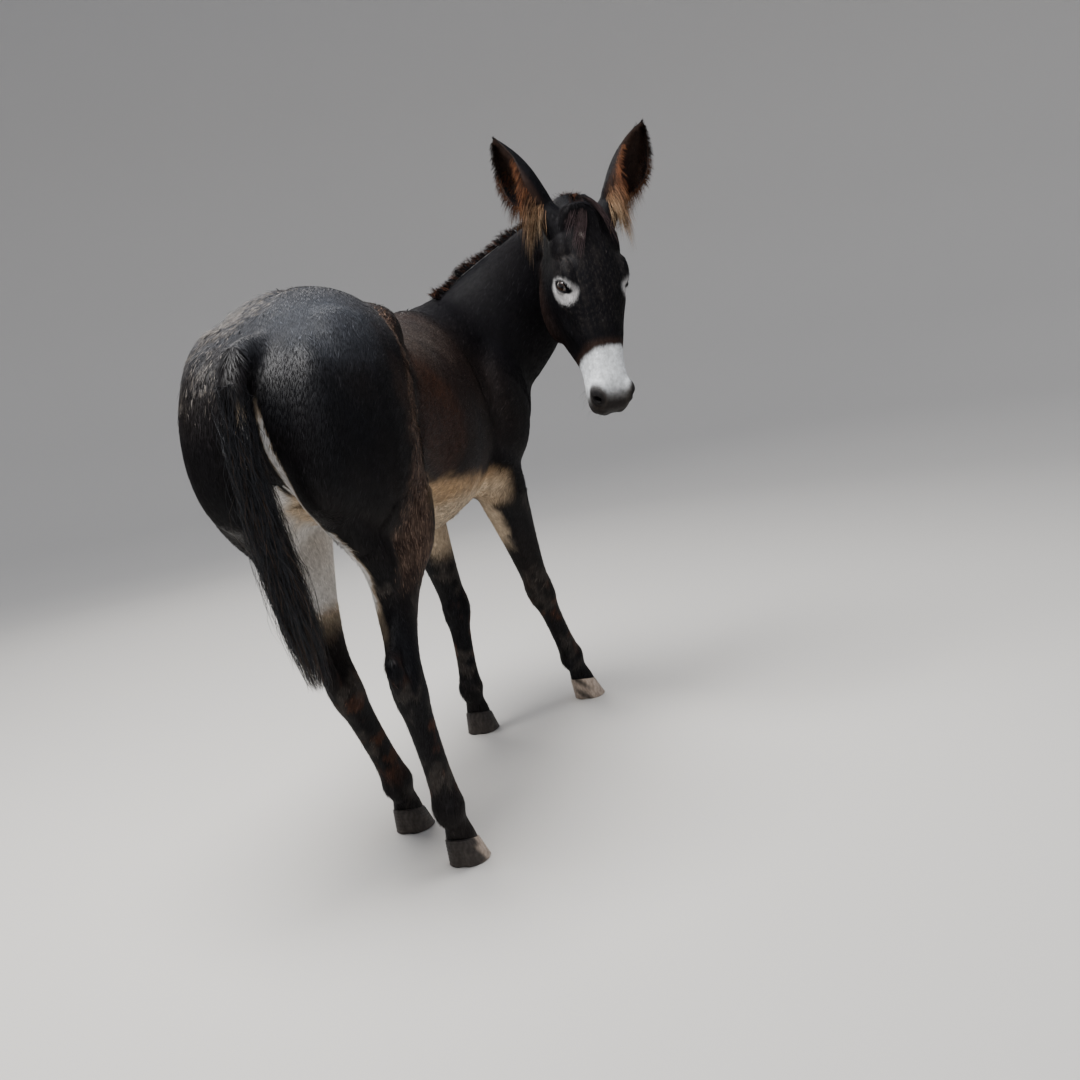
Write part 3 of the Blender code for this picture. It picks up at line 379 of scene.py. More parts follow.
def egg_body(name, rows, sides, power, place):
    """A body of egg-shaped sections through rows of along, top, bottom, half width and lean to the top."""
    bm = bmesh.new()
    rings = []
    for along, top, bottom, half, lean in smooth_rows(rows, STEPS):
        middle = (top + bottom) / 2
        tall = (top - bottom) / 2
        ring = []
        for step in range(sides):
            c, s = squared(2 * math.pi * step / sides, power)
            ring.append(place(along, half * c * (1 + lean * s), middle + tall * s))
        rings.append(ring)
    bridge_rings(bm, rings)
    return object_from(name, bm)


def on_trunk(x, y, z):
    return Vector((x, y + rump_shift(x), z))


def make_trunk():
    """Barrel, rump and chest as one egg-sectioned body: x, top, bottom, half width, upward lean."""
    rows = [
        (-0.680, 1.10, 1.00, 0.060, 0.00),
        (-0.650, 1.165, 0.95, 0.130, 0.00),
        (-0.590, 1.225, 0.90, 0.182, 0.02),
        (-0.480, 1.285, 0.84, 0.226, 0.08),
        (CROUP_X, CROUP_Z, 0.800, 0.236, 0.09),
        (-0.210, 1.298, 0.772, 0.216, 0.03),
        (-0.060, 1.248, 0.722, 0.204, -0.06),
        (0.100, BACK_Z, BELLY_Z - 0.022, 0.214, -0.10),
        (0.240, 1.235, STERNUM_Z - 0.012, 0.206, -0.12),
        (WITHERS_X, WITHERS_Z, STERNUM_Z - 0.002, 0.190, -0.20),
        (0.480, 1.225, STERNUM_Z + 0.016, 0.182, -0.14),
        (0.600, 1.140, STERNUM_Z + 0.062, 0.165, -0.04),
        (0.685, 1.065, STERNUM_Z + 0.130, 0.128, 0.00),
        (0.722, 1.020, STERNUM_Z + 0.195, 0.068, 0.00),
    ]
    return egg_body("trunk", rows, 36, 2.15, on_trunk)


# Muscles: name, centre, radii, turn about X and Y in degrees, share of the rump's or shoulder's own shift
HIND_MUSCLES = [
    ("thigh_", (-0.43, 0.126, 1.00), (0.205, 0.120, 0.27), (0, -10), 1.0),
    ("buttock_", (-0.568, 0.106, 1.02), (0.112, 0.094, 0.205), (0, 4), 1.0),
    ("stifle_", (-0.280, 0.140, 0.860), (0.092, 0.066, 0.155), (0, -20), 1.0),
    ("hip_point_", (-0.215, 0.120, 1.185), (0.120, 0.078, 0.078), (0, 25), 0.5),
]
FORE_MUSCLES = [
    ("shoulder_", (0.530, 0.100, 1.000), (0.135, 0.088, 0.235), (10, 24), 1.0),
    ("breast_", (0.636, 0.084, 0.960), (0.086, 0.088, 0.160), (0, 16), 1.0),
    ("elbow_", (0.450, 0.126, 0.815), (0.104, 0.064, 0.100), (0, 0), 0.6),
]


def make_muscles():
    """Thighs, hip points, buttocks, shoulders and breast, left and right."""
    pieces = []
    for hand, sign in HANDS:
        shift = Vector((0, RUMP_SHIFT, 0))
        reach = Vector(SHOULDER_REACH[hand])
        behind = between(HIND[hand]["stifle"], HIND[hand]["gaskin"], 0.40) - Vector((0.125, 0, 0))
        for muscles, move in ((HIND_MUSCLES, shift), (FORE_MUSCLES, reach)):
            for name, (x, y, z), radii, (roll, pitch), share in muscles:
                centre = Vector((x, sign * y, z)) + move * share
                pieces.append(ball(name + hand, centre, radii, (sign * roll, pitch, 0)))
        pieces.append(limb("hamstring_" + hand, [
            (-0.580, sign * 0.100 + RUMP_SHIFT, 0.960, 0.062, 0.066),
            (-0.545, sign * 0.094 + RUMP_SHIFT, 0.855, 0.056, 0.056),
            (*behind, 0.044, 0.046),
            (*(Vector(HIND[hand]["gaskin"]) - Vector((0.050, 0, 0.01))), 0.028, 0.030),
        ], sides=14))
    pieces.append(ball("tail_root", TAILHEAD + Vector((0.052, 0, -0.050)), (0.048, 0.040, 0.062)))
    pieces.append(ball("neck_root", Vector((0.560, 0.012, 1.115)), (0.140, 0.120, 0.152)))
    pieces.append(ball("groin", Vector((-0.24, RUMP_SHIFT * 0.7, 0.845)), (0.12, 0.11, 0.070)))
    return pieces


HIND = {
    "right": {
        "hip": (-0.42, -0.135, 1.02), "stifle": (-0.330, -0.165, 0.80),
        "gaskin": (-0.425, -0.165, 0.630), "hock": (-0.515, -0.190, 0.470),
        "fetlock": (-0.455, -0.212, 0.150), "hoof": (-0.400, -0.215, 0.0),
    },
    "left": {
        "hip": (-0.42, 0.085, 1.02), "stifle": (-0.290, 0.110, 0.80),
        "gaskin": (-0.365, 0.058, 0.620), "hock": (-0.440, -0.002, 0.455),
        "fetlock": (-0.255, -0.012, 0.145), "hoof": (-0.185, -0.002, 0.0),
    },
}
FORE = {
    "right": {
        "shoulder": (0.455, -0.120, 0.90), "elbow": (0.455, -0.150, 0.775),
        "knee": (0.625, -0.168, 0.405), "fetlock": (0.765, -0.194, 0.148),
        "hoof": (0.835, -0.212, 0.0),
    },
    "left": {
        "shoulder": (0.455, 0.105, 0.90), "elbow": (0.450, 0.105, 0.775),
        "knee": (0.525, 0.060, 0.400), "fetlock": (0.520, 0.055, 0.145),
        "hoof": (0.560, 0.055, 0.0),
    },
}


def between(start, end, t):
    return Vector(start).lerp(Vector(end), t)


def row(point, deep, wide):
    return (point[0], point[1], point[2], deep, wide)


def hoof_top(joints):
    """Middle of the coronet: above the hoof, on the way up to the fetlock."""
    sole = Vector(joints["hoof"])
    up = Vector(joints["fetlock"]) - sole
    return sole + up * (HOOF_HEIGHT / up.z)


def make_hind_leg(hand):
    """Gaskin, hock, cannon, fetlock and pastern of one hind leg."""
    joints = HIND[hand]
    hock = Vector(joints["hock"])
    fetlock = Vector(joints["fetlock"])
    crown = hoof_top(joints)
    ahead = Vector((1, 0, 0))
    rows = [
        row(joints["hip"], 0.16, 0.090),
        row(joints["stifle"], 0.115, 0.076),
        row(between(joints["stifle"], joints["gaskin"], 0.55), 0.092, 0.060),
        row(joints["gaskin"], 0.068, 0.048),
        row(between(joints["gaskin"], hock, 0.6), 0.047, 0.036),
        row(hock + ahead * 0.006, 0.045, 0.038),
        row(between(hock, fetlock, 0.16), 0.044, 0.037),
        row(between(hock, fetlock, 0.32), 0.036, 0.031),
        row(between(hock, fetlock, 0.65), 0.033, 0.0285),
        row(between(hock, fetlock, 0.86), 0.034, 0.031),
        row(fetlock - ahead * 0.004, 0.041, 0.037),
        row(between(fetlock, crown, 0.45), 0.030, 0.028),
        row(between(fetlock, crown, 0.9), 0.034, 0.034),
        row(crown + (crown - fetlock) * 0.25, 0.036, 0.036),
    ]
    leg = limb("hind_" + hand, rows, power=2.2)
    heel = hock + Vector((-0.052, 0, 0.035))
    cap = limb("hock_cap_" + hand, [
        row(between(joints["gaskin"], heel, 0.35) + Vector((-0.018, 0, 0.0)), 0.016, 0.011),
        row(between(joints["gaskin"], heel, 0.75), 0.017, 0.013),
        row(heel, 0.021, 0.019),
        row(between(hock, fetlock, 0.10) - ahead * 0.030, 0.021, 0.019),
        row(between(hock, fetlock, 0.30) - ahead * 0.014, 0.014, 0.014),
    ])
    ergot = ball("ergot_" + hand, fetlock + Vector((-0.026, 0, -0.006)), (0.018, 0.022, 0.024))
    return [leg, cap, ergot]


def make_fore_leg(hand):
    """Forearm, knee, cannon, fetlock and pastern of one foreleg."""
    joints = FORE[hand]
    knee = Vector(joints["knee"])
    fetlock = Vector(joints["fetlock"])
    crown = hoof_top(joints)
    ahead = Vector((1, 0, 0))
    rows = [
        row(joints["shoulder"], 0.120, 0.070),
        row(joints["elbow"], 0.098, 0.074),
        row(between(joints["elbow"], knee, 0.30), 0.076, 0.061),
        row(between(joints["elbow"], knee, 0.65), 0.053, 0.045),
        row(between(joints["elbow"], knee, 0.88), 0.042, 0.038),
        row(knee, 0.043, 0.041),
        row(between(knee, fetlock, 0.15), 0.041, 0.039),
        row(between(knee, fetlock, 0.32), 0.034, 0.030),
        row(between(knee, fetlock, 0.65), 0.032, 0.0275),
        row(between(knee, fetlock, 0.86), 0.034, 0.030),
        row(fetlock, 0.040, 0.036),
        row(between(fetlock, crown, 0.45), 0.030, 0.028),
        row(between(fetlock, crown, 0.9), 0.034, 0.034),
        row(crown + (crown - fetlock) * 0.25, 0.036, 0.036),
    ]
    leg = limb("fore_" + hand, rows, power=2.2)
    pisiform = ball("knee_back_" + hand, knee - ahead * 0.034, (0.018, 0.018, 0.030))
    ergot = ball("fore_ergot_" + hand, fetlock + Vector((-0.026, 0, -0.006)), (0.018, 0.022, 0.024))
    return [leg, pisiform, ergot]


def head_frame():
    """Columns: down the face, to the animal's left, out of the forehead; origin at the poll."""
    along = FACE_LINE.normalized()
    out = (FOREHEAD_WAY - along * FOREHEAD_WAY.dot(along)).normalized()
    left = out.cross(along)
    turn = Matrix((along, left, out)).transposed()
    return Matrix.Translation(POLL) @ turn.to_4x4()


HEAD = head_frame()


def on_head(along, aside, out):
    """A point from its place on a head 0.6 m long, aside and out of the face."""
    return HEAD @ Vector((along * HEAD_LENGTH / TABLE_LENGTH, aside, out))


def head_turn():
    return HEAD.to_3x3().to_4x4()


def head_ball(name, place, radii):
    """An ellipsoid with its axes along the head's own."""
    move = Matrix.Translation(on_head(*place)) @ head_turn() @ Matrix.Diagonal((*radii, 1.0))
    return sphere_body(name, 20, 1.0, move)


def make_skull():
    """The head from poll to lips: along, top, bottom, half width, lean to the top."""
    rows = [
        (-0.060, -0.045, -0.120, 0.040, 0.00),
        (-0.020, -0.008, -0.155, 0.066, 0.02),
        (0.050, 0.006, -0.178, 0.084, 0.04),
        (0.120, 0.012, -0.212, 0.096, 0.08),
        (0.195, 0.012, -0.236, 0.104, 0.16),
        (0.260, 0.007, -0.244, 0.098, 0.14),
        (0.332, -0.004, -0.230, 0.081, 0.10),
        (0.405, -0.016, -0.188, 0.063, 0.04),
        (0.465, -0.025, -0.150, 0.055, 0.00),
        (0.520, -0.030, -0.138, 0.058, 0.00),
        (0.568, -0.038, -0.138, 0.058, 0.00),
        (0.598, -0.055, -0.132, 0.046, 0.00),
        (0.607, -0.078, -0.114, 0.022, 0.00),
    ]
    return egg_body("skull", rows, 32, 2.5, on_head)


# Forms on both sides of the head: name, place and radii
FACE_PAIRS = [
    ("cheek", (0.238, 0.058, -0.160), (0.112, 0.034, 0.085)),
    ("brow", (0.196, 0.077, -0.016), (0.046, 0.022, 0.019)),
    ("cheek_bone", (0.285, 0.068, -0.085), (0.080, 0.022, 0.022)),
    ("nostril_wing", (0.548, 0.038, -0.060), (0.038, 0.024, 0.030)),
    ("upper_lip", (0.578, 0.024, -0.090), (0.030, 0.028, 0.026)),
    ("temple", (0.110, 0.070, -0.050), (0.070, 0.028, 0.045)),
]


def make_head_forms():
    """Cheeks, brows, cheek bones, nostril wings, lips and chin."""
    pieces = [make_skull()]
    for sign in (1, -1):
        for name, (along, aside, out), radii in FACE_PAIRS:
            pieces.append(head_ball(name, (along, sign * aside, out), radii))
    pieces.append(head_ball("lower_lip", (0.575, 0.0, -0.130), (0.030, 0.036, 0.018)))
    pieces.append(head_ball("chin", (0.545, 0.0, -0.143), (0.032, 0.032, 0.018)))
    return pieces


def neck_rows():
    """Neck swung to the right and back: centre, half depth, half width and its side direction."""
    left = HEAD.to_3x3() @ Vector((0, 1, 0))
    return [
        (0.400, 0.000, 1.000, 0.240, 0.150, 0.0, 1.0, 0.0),
        (0.530, -0.030, 1.045, 0.225, 0.148, 0.1, 1.0, 0.0),
        (0.630, -0.112, 1.116, 0.206, 0.124, 0.45, 0.85, 0.0),
        (0.650, -0.212, 1.204, 0.174, 0.088, 0.80, 0.50, -0.1),
        (0.615, -0.318, 1.285, 0.143, 0.073, 0.95, 0.15, -0.2),
        (0.550, -0.405, 1.345, 0.114, 0.064, 0.95, -0.15, -0.2),
        (0.470, -0.475, 1.368, 0.098, 0.064, *left),
        (0.400, -0.508, 1.362, 0.085, 0.060, *left),
    ]


def make_neck():
    return limb("neck_form", neck_rows(), power=2.2, sides=24)


def crest_line(steps):
    """Points along the top of the neck with the way out, the way to the left and the way on."""
    fine = smooth_rows(neck_rows(), steps)
    centres = [Vector(row[:3]) for row in fine]
    found = []
    for index, row in enumerate(fine):
        along = centres[min(index + 1, len(fine) - 1)] - centres[max(index - 1, 0)]
        along.normalize()
        side = Vector(row[5:8])
        across = (side - along * side.dot(along)).normalized()
        out = along.cross(across)
        found.append((centres[index] + out * row[3], out, across, along))
    return found


def make_dock():
    """The tail's flesh, hanging free just behind the buttocks."""
    x, y, z = TAILHEAD
    rows = [
        (x + 0.120, y, z + 0.010, 0.030, 0.034),
        (x + 0.030, y, z + 0.006, 0.032, 0.034),
        (x - 0.030, y, z - 0.024, 0.030, 0.030),
        (x - 0.066, y - 0.002, z - 0.086, 0.025, 0.026),
        (x - 0.078, y - 0.006, z - 0.180, 0.021, 0.022),
        (x - 0.068, y - 0.012, z - 0.300, 0.017, 0.018),
        (x - 0.052, y - 0.020, z - 0.420, 0.013, 0.014),
        (x - 0.044, y - 0.024, z - 0.470, 0.006, 0.006),
    ]
    return limb("dock", rows, sides=14)


def tail_axis(drop):
    """Middle line of the hanging tail at a depth below the tailhead."""
    x, y, z = TAILHEAD
    rows = [(-0.062, 0.000, 0.060), (-0.080, -0.006, 0.180), (-0.066, -0.014, 0.340),
            (-0.042, -0.026, 0.500), (-0.022, -0.034, 0.620), (-0.010, -0.038, 0.700)]
    drop = min(max(drop, rows[0][2]), rows[-1][2])
    for near, far in zip(rows, rows[1:]):
        if drop <= far[2]:
            t = (drop - near[2]) / (far[2] - near[2])
            return Vector((x + near[0] + (far[0] - near[0]) * t,
                           y + near[1] + (far[1] - near[1]) * t, z - drop))
    return Vector((x + rows[-1][0], y + rows[-1][1], z - drop))


def softness(point):
    """How far the smoothing goes: most on the trunk, little on the face, tail and feet."""
    to_head = HEAD.inverted() @ point
    if to_head.x > -0.02 and abs(to_head.y) < 0.16 and -0.30 < to_head.z < 0.10:
        return 0.05
    if point.x < TAILHEAD.x - 0.025:
        return 0.08
    if point.y < -0.25:
        return 0.30
    return min(1.0, max(0.08, (point.z - 0.50) / 0.30))


def cut(thing, tools, operation):
    """Apply one Boolean with a collection of closed meshes, and remove them."""
    group = bpy.data.collections.new("tools")
    bpy.context.scene.collection.children.link(group)
    for tool in tools:
        for owner in list(tool.users_collection):
            owner.objects.unlink(tool)
        group.objects.link(tool)
    boolean = thing.modifiers.new("Boolean", "BOOLEAN")
    boolean.operation = operation
    boolean.operand_type = "COLLECTION"
    boolean.collection = group
    boolean.solver = "MANIFOLD"
    bake_modifiers(thing)
    drop(list(group.objects))
    bpy.data.collections.remove(group)


def eye_outward(sign):
    """The way an eye looks: aside and a little forward."""
    return (HEAD.to_3x3() @ Vector((0.10, sign * 1.0, 0.62))).normalized()


def mouth_rim(bm, reach, swell, wide, back, half):
    """Upper and lower edge of the mouth's wedge, at its outside or its bottom."""
    top = []
    bottom = []
    for step in range(MOUTH_STEPS + 1):
        t = -1 + 2 * step / MOUTH_STEPS
        along = 0.492 + reach * (1 - abs(t) ** 2.6) - back
        aside = wide * t if abs(t) < 1 else MOUTH_WIDE * t
        out = -0.112 + swell * (1 - abs(t) ** 2) - 0.006 * abs(t)
        top.append(bm.verts.new(on_head(along, aside, out + half)))
        bottom.append(bm.verts.new(on_head(along, aside, out - half)))
    return top, bottom


def mouth_cutter():
    """A thin wedge round the muzzle that leaves the line of the mouth."""
    bm = bmesh.new()
    count = MOUTH_STEPS
    top, bottom = mouth_rim(bm, 0.140, 0.012, MOUTH_WIDE, 0.0, 0.0016)
    inner_top, inner_bottom = mouth_rim(bm, 0.082, 0.010, 0.042, 0.004, 0.0009)
    for step in range(count):
        after = step + 1
        bm.faces.new((top[step], top[after], bottom[after], bottom[step]))
        bm.faces.new((inner_top[step], inner_bottom[step], inner_bottom[after], inner_top[after]))
        bm.faces.new((top[step], inner_top[step], inner_top[after], top[after]))
        bm.faces.new((bottom[step], bottom[after], inner_bottom[after], inner_bottom[step]))
    for end in (0, count):
        bm.faces.new((top[end], bottom[end], inner_bottom[end], inner_top[end]))
    return object_from("mouth", bm)


def nostril_cutters():
    """Comma-shaped hollows of the nostrils."""
    cutters = []
    for sign in (1, -1):
        way = HEAD.to_3x3() @ Vector((0.55, sign * 0.75, 0.25))
        start = on_head(0.566, sign * 0.052, -0.052)
        rows = []
        for t, wide in ((-0.030, 0.005), (-0.018, 0.010), (0.0, 0.0140), (0.020, 0.016)):
            point = start + way * t
            rows.append((*point, wide * 0.62, wide, *(HEAD.to_3x3() @ Vector((0.8, 0, 0.6)))))
        cutters.append(limb("nostril", rows, sides=8, steps=1))
    return cutters


EAR_WAYS = {
    "right": (Vector((0.00, 0.44, 0.88)), Vector((-0.70, 0.62, 0.10))),
    "left": (Vector((0.22, -0.46, 0.85)), Vector((-0.72, -0.66, 0.10))),
}


def ear_frame(hand):
    """Origin at the ear's base, Z up the ear and X out of its cup."""
    sign = 1 if hand == "left" else -1
    base = on_head(EAR_BASE_ALONG, sign * EAR_BASE_ASIDE, -EAR_BASE_BELOW)
    up = EAR_WAYS[hand][0].normalized()
    cup = EAR_WAYS[hand][1]
    cup = (cup - up * cup.dot(up)).normalized()
    side = up.cross(cup)
    turn = Matrix((cup, side, up)).transposed().to_4x4()
    return Matrix.Translation(base + up * EAR_STUMP) @ turn


def ear_half_width(t):
    """Half width of the ear's leaf, from its tube-like base to its tip."""
    if t < EAR_WIDEST:
        share = EAR_FOOT + (1 - EAR_FOOT) * math.sin(math.pi / 2 * t / EAR_WIDEST)
    else:
        share = max(0.0, math.cos(math.pi / 2 * (t - EAR_WIDEST) / (1 - EAR_WIDEST))) ** 0.8
    return EAR_WIDTH / 2 * share + 0.001


def ear_point(hand, t, angle, radius, length):
    """A point on the ear: t up its length, angle round its rolled section."""
    bend = 0.018 * math.sin(math.pi * t * 0.9)
    bow = EAR_BOW * math.sin(math.pi * t) * (1 if hand == "left" else -1)
    return Vector((bend - radius * math.cos(angle), bow + radius * math.sin(angle), length * t))


def ear_section(t):
    """Half width, radius, half angle and shell of the ear's rolled section at t."""
    half = ear_half_width(t)
    roll = math.radians(158 - 66 * min(1.0, t * 1.5))
    radius = half / math.sin(min(roll, math.pi / 2))
    return half, radius, roll, min(EAR_SHELL, radius * 0.55)


def frame_shift():
    """From the animal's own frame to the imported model's, read from the right eye's place."""
    low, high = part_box("eye_right")
    middle = (Vector(low) + Vector(high)) / 2
    shift = middle - on_head(EYE_ALONG, -EYE_ASIDE, -EYE_BELOW)
    shift.z = 0.0
    return shift


SHIFT = frame_shift()


def to_array(vectors):
    return np.array([tuple(v) for v in vectors], dtype=np.float64)


def unit(rows):
    length = np.linalg.norm(rows, axis=1, keepdims=True)
    return rows / np.maximum(length, 1e-9)


def step_up(low, high, values):
    """Smooth step from 0 at low to 1 at high."""
    t = np.clip((values - low) / (high - low), 0.0, 1.0)
    return t * t * (3 - 2 * t)


def bell(values, middle, width):
    """Smooth hump of height 1 round a middle."""
    return np.exp(-((values - middle) / width) ** 2)


def hump(low, full, fade_from, end, values):
    """Smooth rise from low to full, 1 after it, and a smooth fall to 0 at the end."""
    return step_up(low, full, values) * (1 - step_up(fade_from, end, values))


def ripple(points, scale, seed):
    """Cheap smooth noise from -1 to 1: a sum of waves in random directions."""
    draw = np.random.default_rng(seed)
    total = np.zeros(len(points))
    for octave in range(4):
        for _ in range(3):
            way = draw.normal(size=3)
            way = way / np.linalg.norm(way) * scale * 1.9 ** octave
            total += np.sin(points @ way + draw.uniform(0, 6.28)) / (3 * 1.5 ** octave)
    return np.clip(total / 1.1, -1, 1)


HEAD_INVERSE = np.array(HEAD.inverted())
HEAD_TURN = np.array(HEAD.to_3x3())
NECK_CREST = crest_line(6)
NECK_ROWS = smooth_rows(neck_rows(), 6)


def in_head(points):
    """Points in the head's own frame: down the face, to its left, out of the forehead."""
    local = points @ HEAD_INVERSE[:3, :3].T + HEAD_INVERSE[:3, 3]
    local[:, 0] *= TABLE_LENGTH / HEAD_LENGTH
    return local


def head_share(points):
    """1 on the head and 0 on the neck, turning over in the crease between them."""
    local = in_head(points)
    along = local[:, 0]
    half = np.interp(along, [-0.02, 0.12, 0.20, 0.40, 0.60], [0.080, 0.110, 0.115, 0.072, 0.062])
    top = np.interp(along, [-0.02, 0.12, 0.40, 0.60], [0.004, 0.020, -0.010, -0.040])
    bottom = np.interp(along, [-0.02, 0.12, 0.24, 0.40, 0.60], [-0.150, -0.235, -0.250, -0.175, -0.135])
    to_head = np.hypot(local[:, 1] / half, (local[:, 2] - (top + bottom) / 2) / ((top - bottom) / 2)) - 1
    to_head += np.maximum(0.0, -0.015 - along) / 0.05
    centres = to_array([row[:3] for row in NECK_ROWS[:-8]])
    crest = NECK_CREST[:-8]
    near = np.argmin(((points[:, None, :] - centres[None, :, :]) ** 2).sum(2), axis=1)
    gap = points - centres[near]
    deep = np.array([row[3] for row in NECK_ROWS[:-8]])[near]
    wide = np.array([row[4] for row in NECK_ROWS[:-8]])[near]
    out = np.sum(gap * to_array([row[1] for row in crest])[near], axis=1) / deep
    across = np.sum(gap * to_array([row[2] for row in crest])[near], axis=1) / wide
    to_neck = np.hypot(out, across) - 1
    brow = step_up(-0.03, 0.01, along) * step_up(-0.11, -0.07, local[:, 2])
    return np.maximum(step_up(-0.22, 0.22, to_neck - to_head), brow) * (points[:, 1] < -0.28)


def along_limb(points, joints, names):
    """Distance from a limb's line of joints and how far down it each point is, from 0 to 1 a bone."""
    best = np.full(len(points), 9.0)
    down = np.zeros(len(points))
    for index, (first, second) in enumerate(zip(names, names[1:])):
        a = np.array(joints[first])
        b = np.array(joints[second])
        t = np.clip(((points - a) @ (b - a)) / np.dot(b - a, b - a), 0, 1)
        gap = np.linalg.norm(points - a - t[:, None] * (b - a), axis=1)
        closer = gap < best
        best = np.where(closer, gap, best)
        down = np.where(closer, index + t, down)
    return best, down


def up_from_hoof(points, joints, names):
    """How many bones above the hoof each point is."""
    return len(names) - 1 - along_limb(points, joints, names)[1]


HIND_NAMES = ("hip", "stifle", "gaskin", "hock", "fetlock", "hoof")
FORE_NAMES = ("shoulder", "elbow", "knee", "fetlock", "hoof")
NECK_PLANE = (np.array((0.545, -0.03, 1.13)), np.array((0.65, -0.30, 0.70)))
LEGS = [("leg_hind_left", HIND["left"], HIND_NAMES), ("leg_hind_right", HIND["right"], HIND_NAMES),
        ("leg_fore_left", FORE["left"], FORE_NAMES), ("leg_fore_right", FORE["right"], FORE_NAMES)]
REGIONS = ["torso", "neck", "head", "tail"] + [leg[0] for leg in LEGS] + ["ear_left", "ear_right"]
TORSO, NECK, FACE, TAIL = range(4)
FIRST_LEG = REGIONS.index("leg_hind_left")
FIRST_EAR = REGIONS.index("ear_left")


def ear_places(points, hand):
    """Points in an ear's own frame, and whether they belong to it."""
    inverse = np.array(ear_frame(hand).inverted())
    local = points @ inverse[:3, :3].T + inverse[:3, 3]
    wide = np.abs(local[:, 1])
    inside = (local[:, 2] > -0.022) & (local[:, 2] < EAR_LENGTH)
    inside &= (wide < EAR_REACH) & (np.abs(local[:, 0]) < EAR_REACH)
    return local, inside


def leg_gaps(points):
    """Distance of each point from the line of joints of each leg."""
    return np.array([along_limb(points, joints, names)[0] for _, joints, names in LEGS])


def neck_share(points):
    """1 on the neck and 0 on the trunk."""
    plane, normal = NECK_PLANE
    return step_up(-0.10, 0.04, (points - plane) @ normal)


def leg_share(points):
    """1 down the legs and 0 on the trunk."""
    front = points[:, 0] > 0.2
    hind = 1 - step_up(0.76, 0.92, points[:, 2])
    fore = 1 - step_up(0.67, 0.76, points[:, 2])
    gaps = leg_gaps(points)
    close = 1 - step_up(0.0, 0.035, np.min(gaps, axis=0) - np.where(front, 0.085, 0.140))
    close = np.maximum(close, 1 - step_up(0.60, 0.66, points[:, 2]))
    return np.where(front, fore, hind) * close * (points[:, 0] > TAILHEAD.x - 0.025)


def region_of(points):
    """Number in REGIONS of the part that each point lies on."""
    region = np.zeros(len(points), dtype=int)
    region[neck_share(points) > 0.5] = NECK
    region[head_share(points) > 0.5] = FACE
    tail = (points[:, 0] < TAILHEAD.x - 0.025) & (np.abs(points[:, 1] - TAILHEAD.y) < 0.06)
    region[tail & (points[:, 2] > 0.60)] = TAIL
    gaps = leg_gaps(points)
    nearest = np.argmin(gaps, axis=0)
    front = points[:, 0] > 0.2
    leg = (leg_share(points) > 0.5) & (region == TORSO)
    close = np.min(gaps, axis=0) < np.where(front, 0.115, 0.17)
    leg &= close | (points[:, 2] < 0.60)
    region[leg] = FIRST_LEG + nearest[leg]
    for index, hand in enumerate(("left", "right")):
        inside = ear_places(points, hand)[1]
        region[inside] = FIRST_EAR + index
    return region


def mesh_points(mesh):
    points = np.empty(len(mesh.vertices) * 3)
    mesh.vertices.foreach_get("co", points)
    return points.reshape(-1, 3)


def mesh_normals(mesh):
    normals = np.empty(len(mesh.vertices) * 3)
    mesh.vertices.foreach_get("normal", normals)
    return normals.reshape(-1, 3)


def set_points(mesh, points):
    mesh.vertices.foreach_set("co", points.ravel())
    mesh.update()


def smooth_part(thing, weights, passes):
    """Smooth where the weights say."""
    group = thing.vertex_groups.new(name="soft")
    levels = np.round(weights, 2)
    for level in np.unique(levels):
        if level > 0:
            group.add(np.nonzero(levels == level)[0].tolist(), float(level), "REPLACE")
    smooth = thing.modifiers.new("Smooth", "SMOOTH")
    smooth.factor = 0.5
    smooth.iterations = passes
    smooth.vertex_group = "soft"
    bake_modifiers(thing)
    thing.vertex_groups.clear()


def fuse_forms():
    """Trunk, neck, tail, legs and head as one remeshed and smoothed body."""
    pieces = [make_trunk(), make_neck(), make_dock()]
    pieces += make_muscles()
    pieces += make_head_forms()
    for hand in ("left", "right"):
        pieces += make_hind_leg(hand)
        pieces += make_fore_leg(hand)
    bm = bmesh.new()
    for piece in pieces:
        bm.from_mesh(piece.data)
    drop(pieces)
    body = object_from("skin", bm)
    remesh = body.modifiers.new("Skin", "REMESH")
    remesh.mode = "VOXEL"
    remesh.voxel_size = VOXEL
    bake_modifiers(body)
    weights = np.array([softness(vert.co) for vert in body.data.vertices])
    smooth_part(body, weights, SMOOTH_PASSES)
    return body


def refine_head(body):
    """Twice as fine a mesh over the head."""
    bm = bmesh.new()
    bm.from_mesh(body.data)
    bm.verts.ensure_lookup_table()
    share = head_share(mesh_points(body.data))
    edges = [edge for edge in bm.edges if min(share[vert.index] for vert in edge.verts) > 0.3]
    bmesh.ops.subdivide_edges(bm, edges=edges, cuts=1, use_grid_fill=True, smooth=0.6)
    bm.to_mesh(body.data)
    bm.free()


def press(points, normals, local, radii, amount):
    """Push the skin out or in, most where the local places are near zero."""
    fall = np.exp(-np.sum((local / np.array(radii)) ** 2, axis=1) * 1.6)
    points += normals * (fall * amount)[:, None]


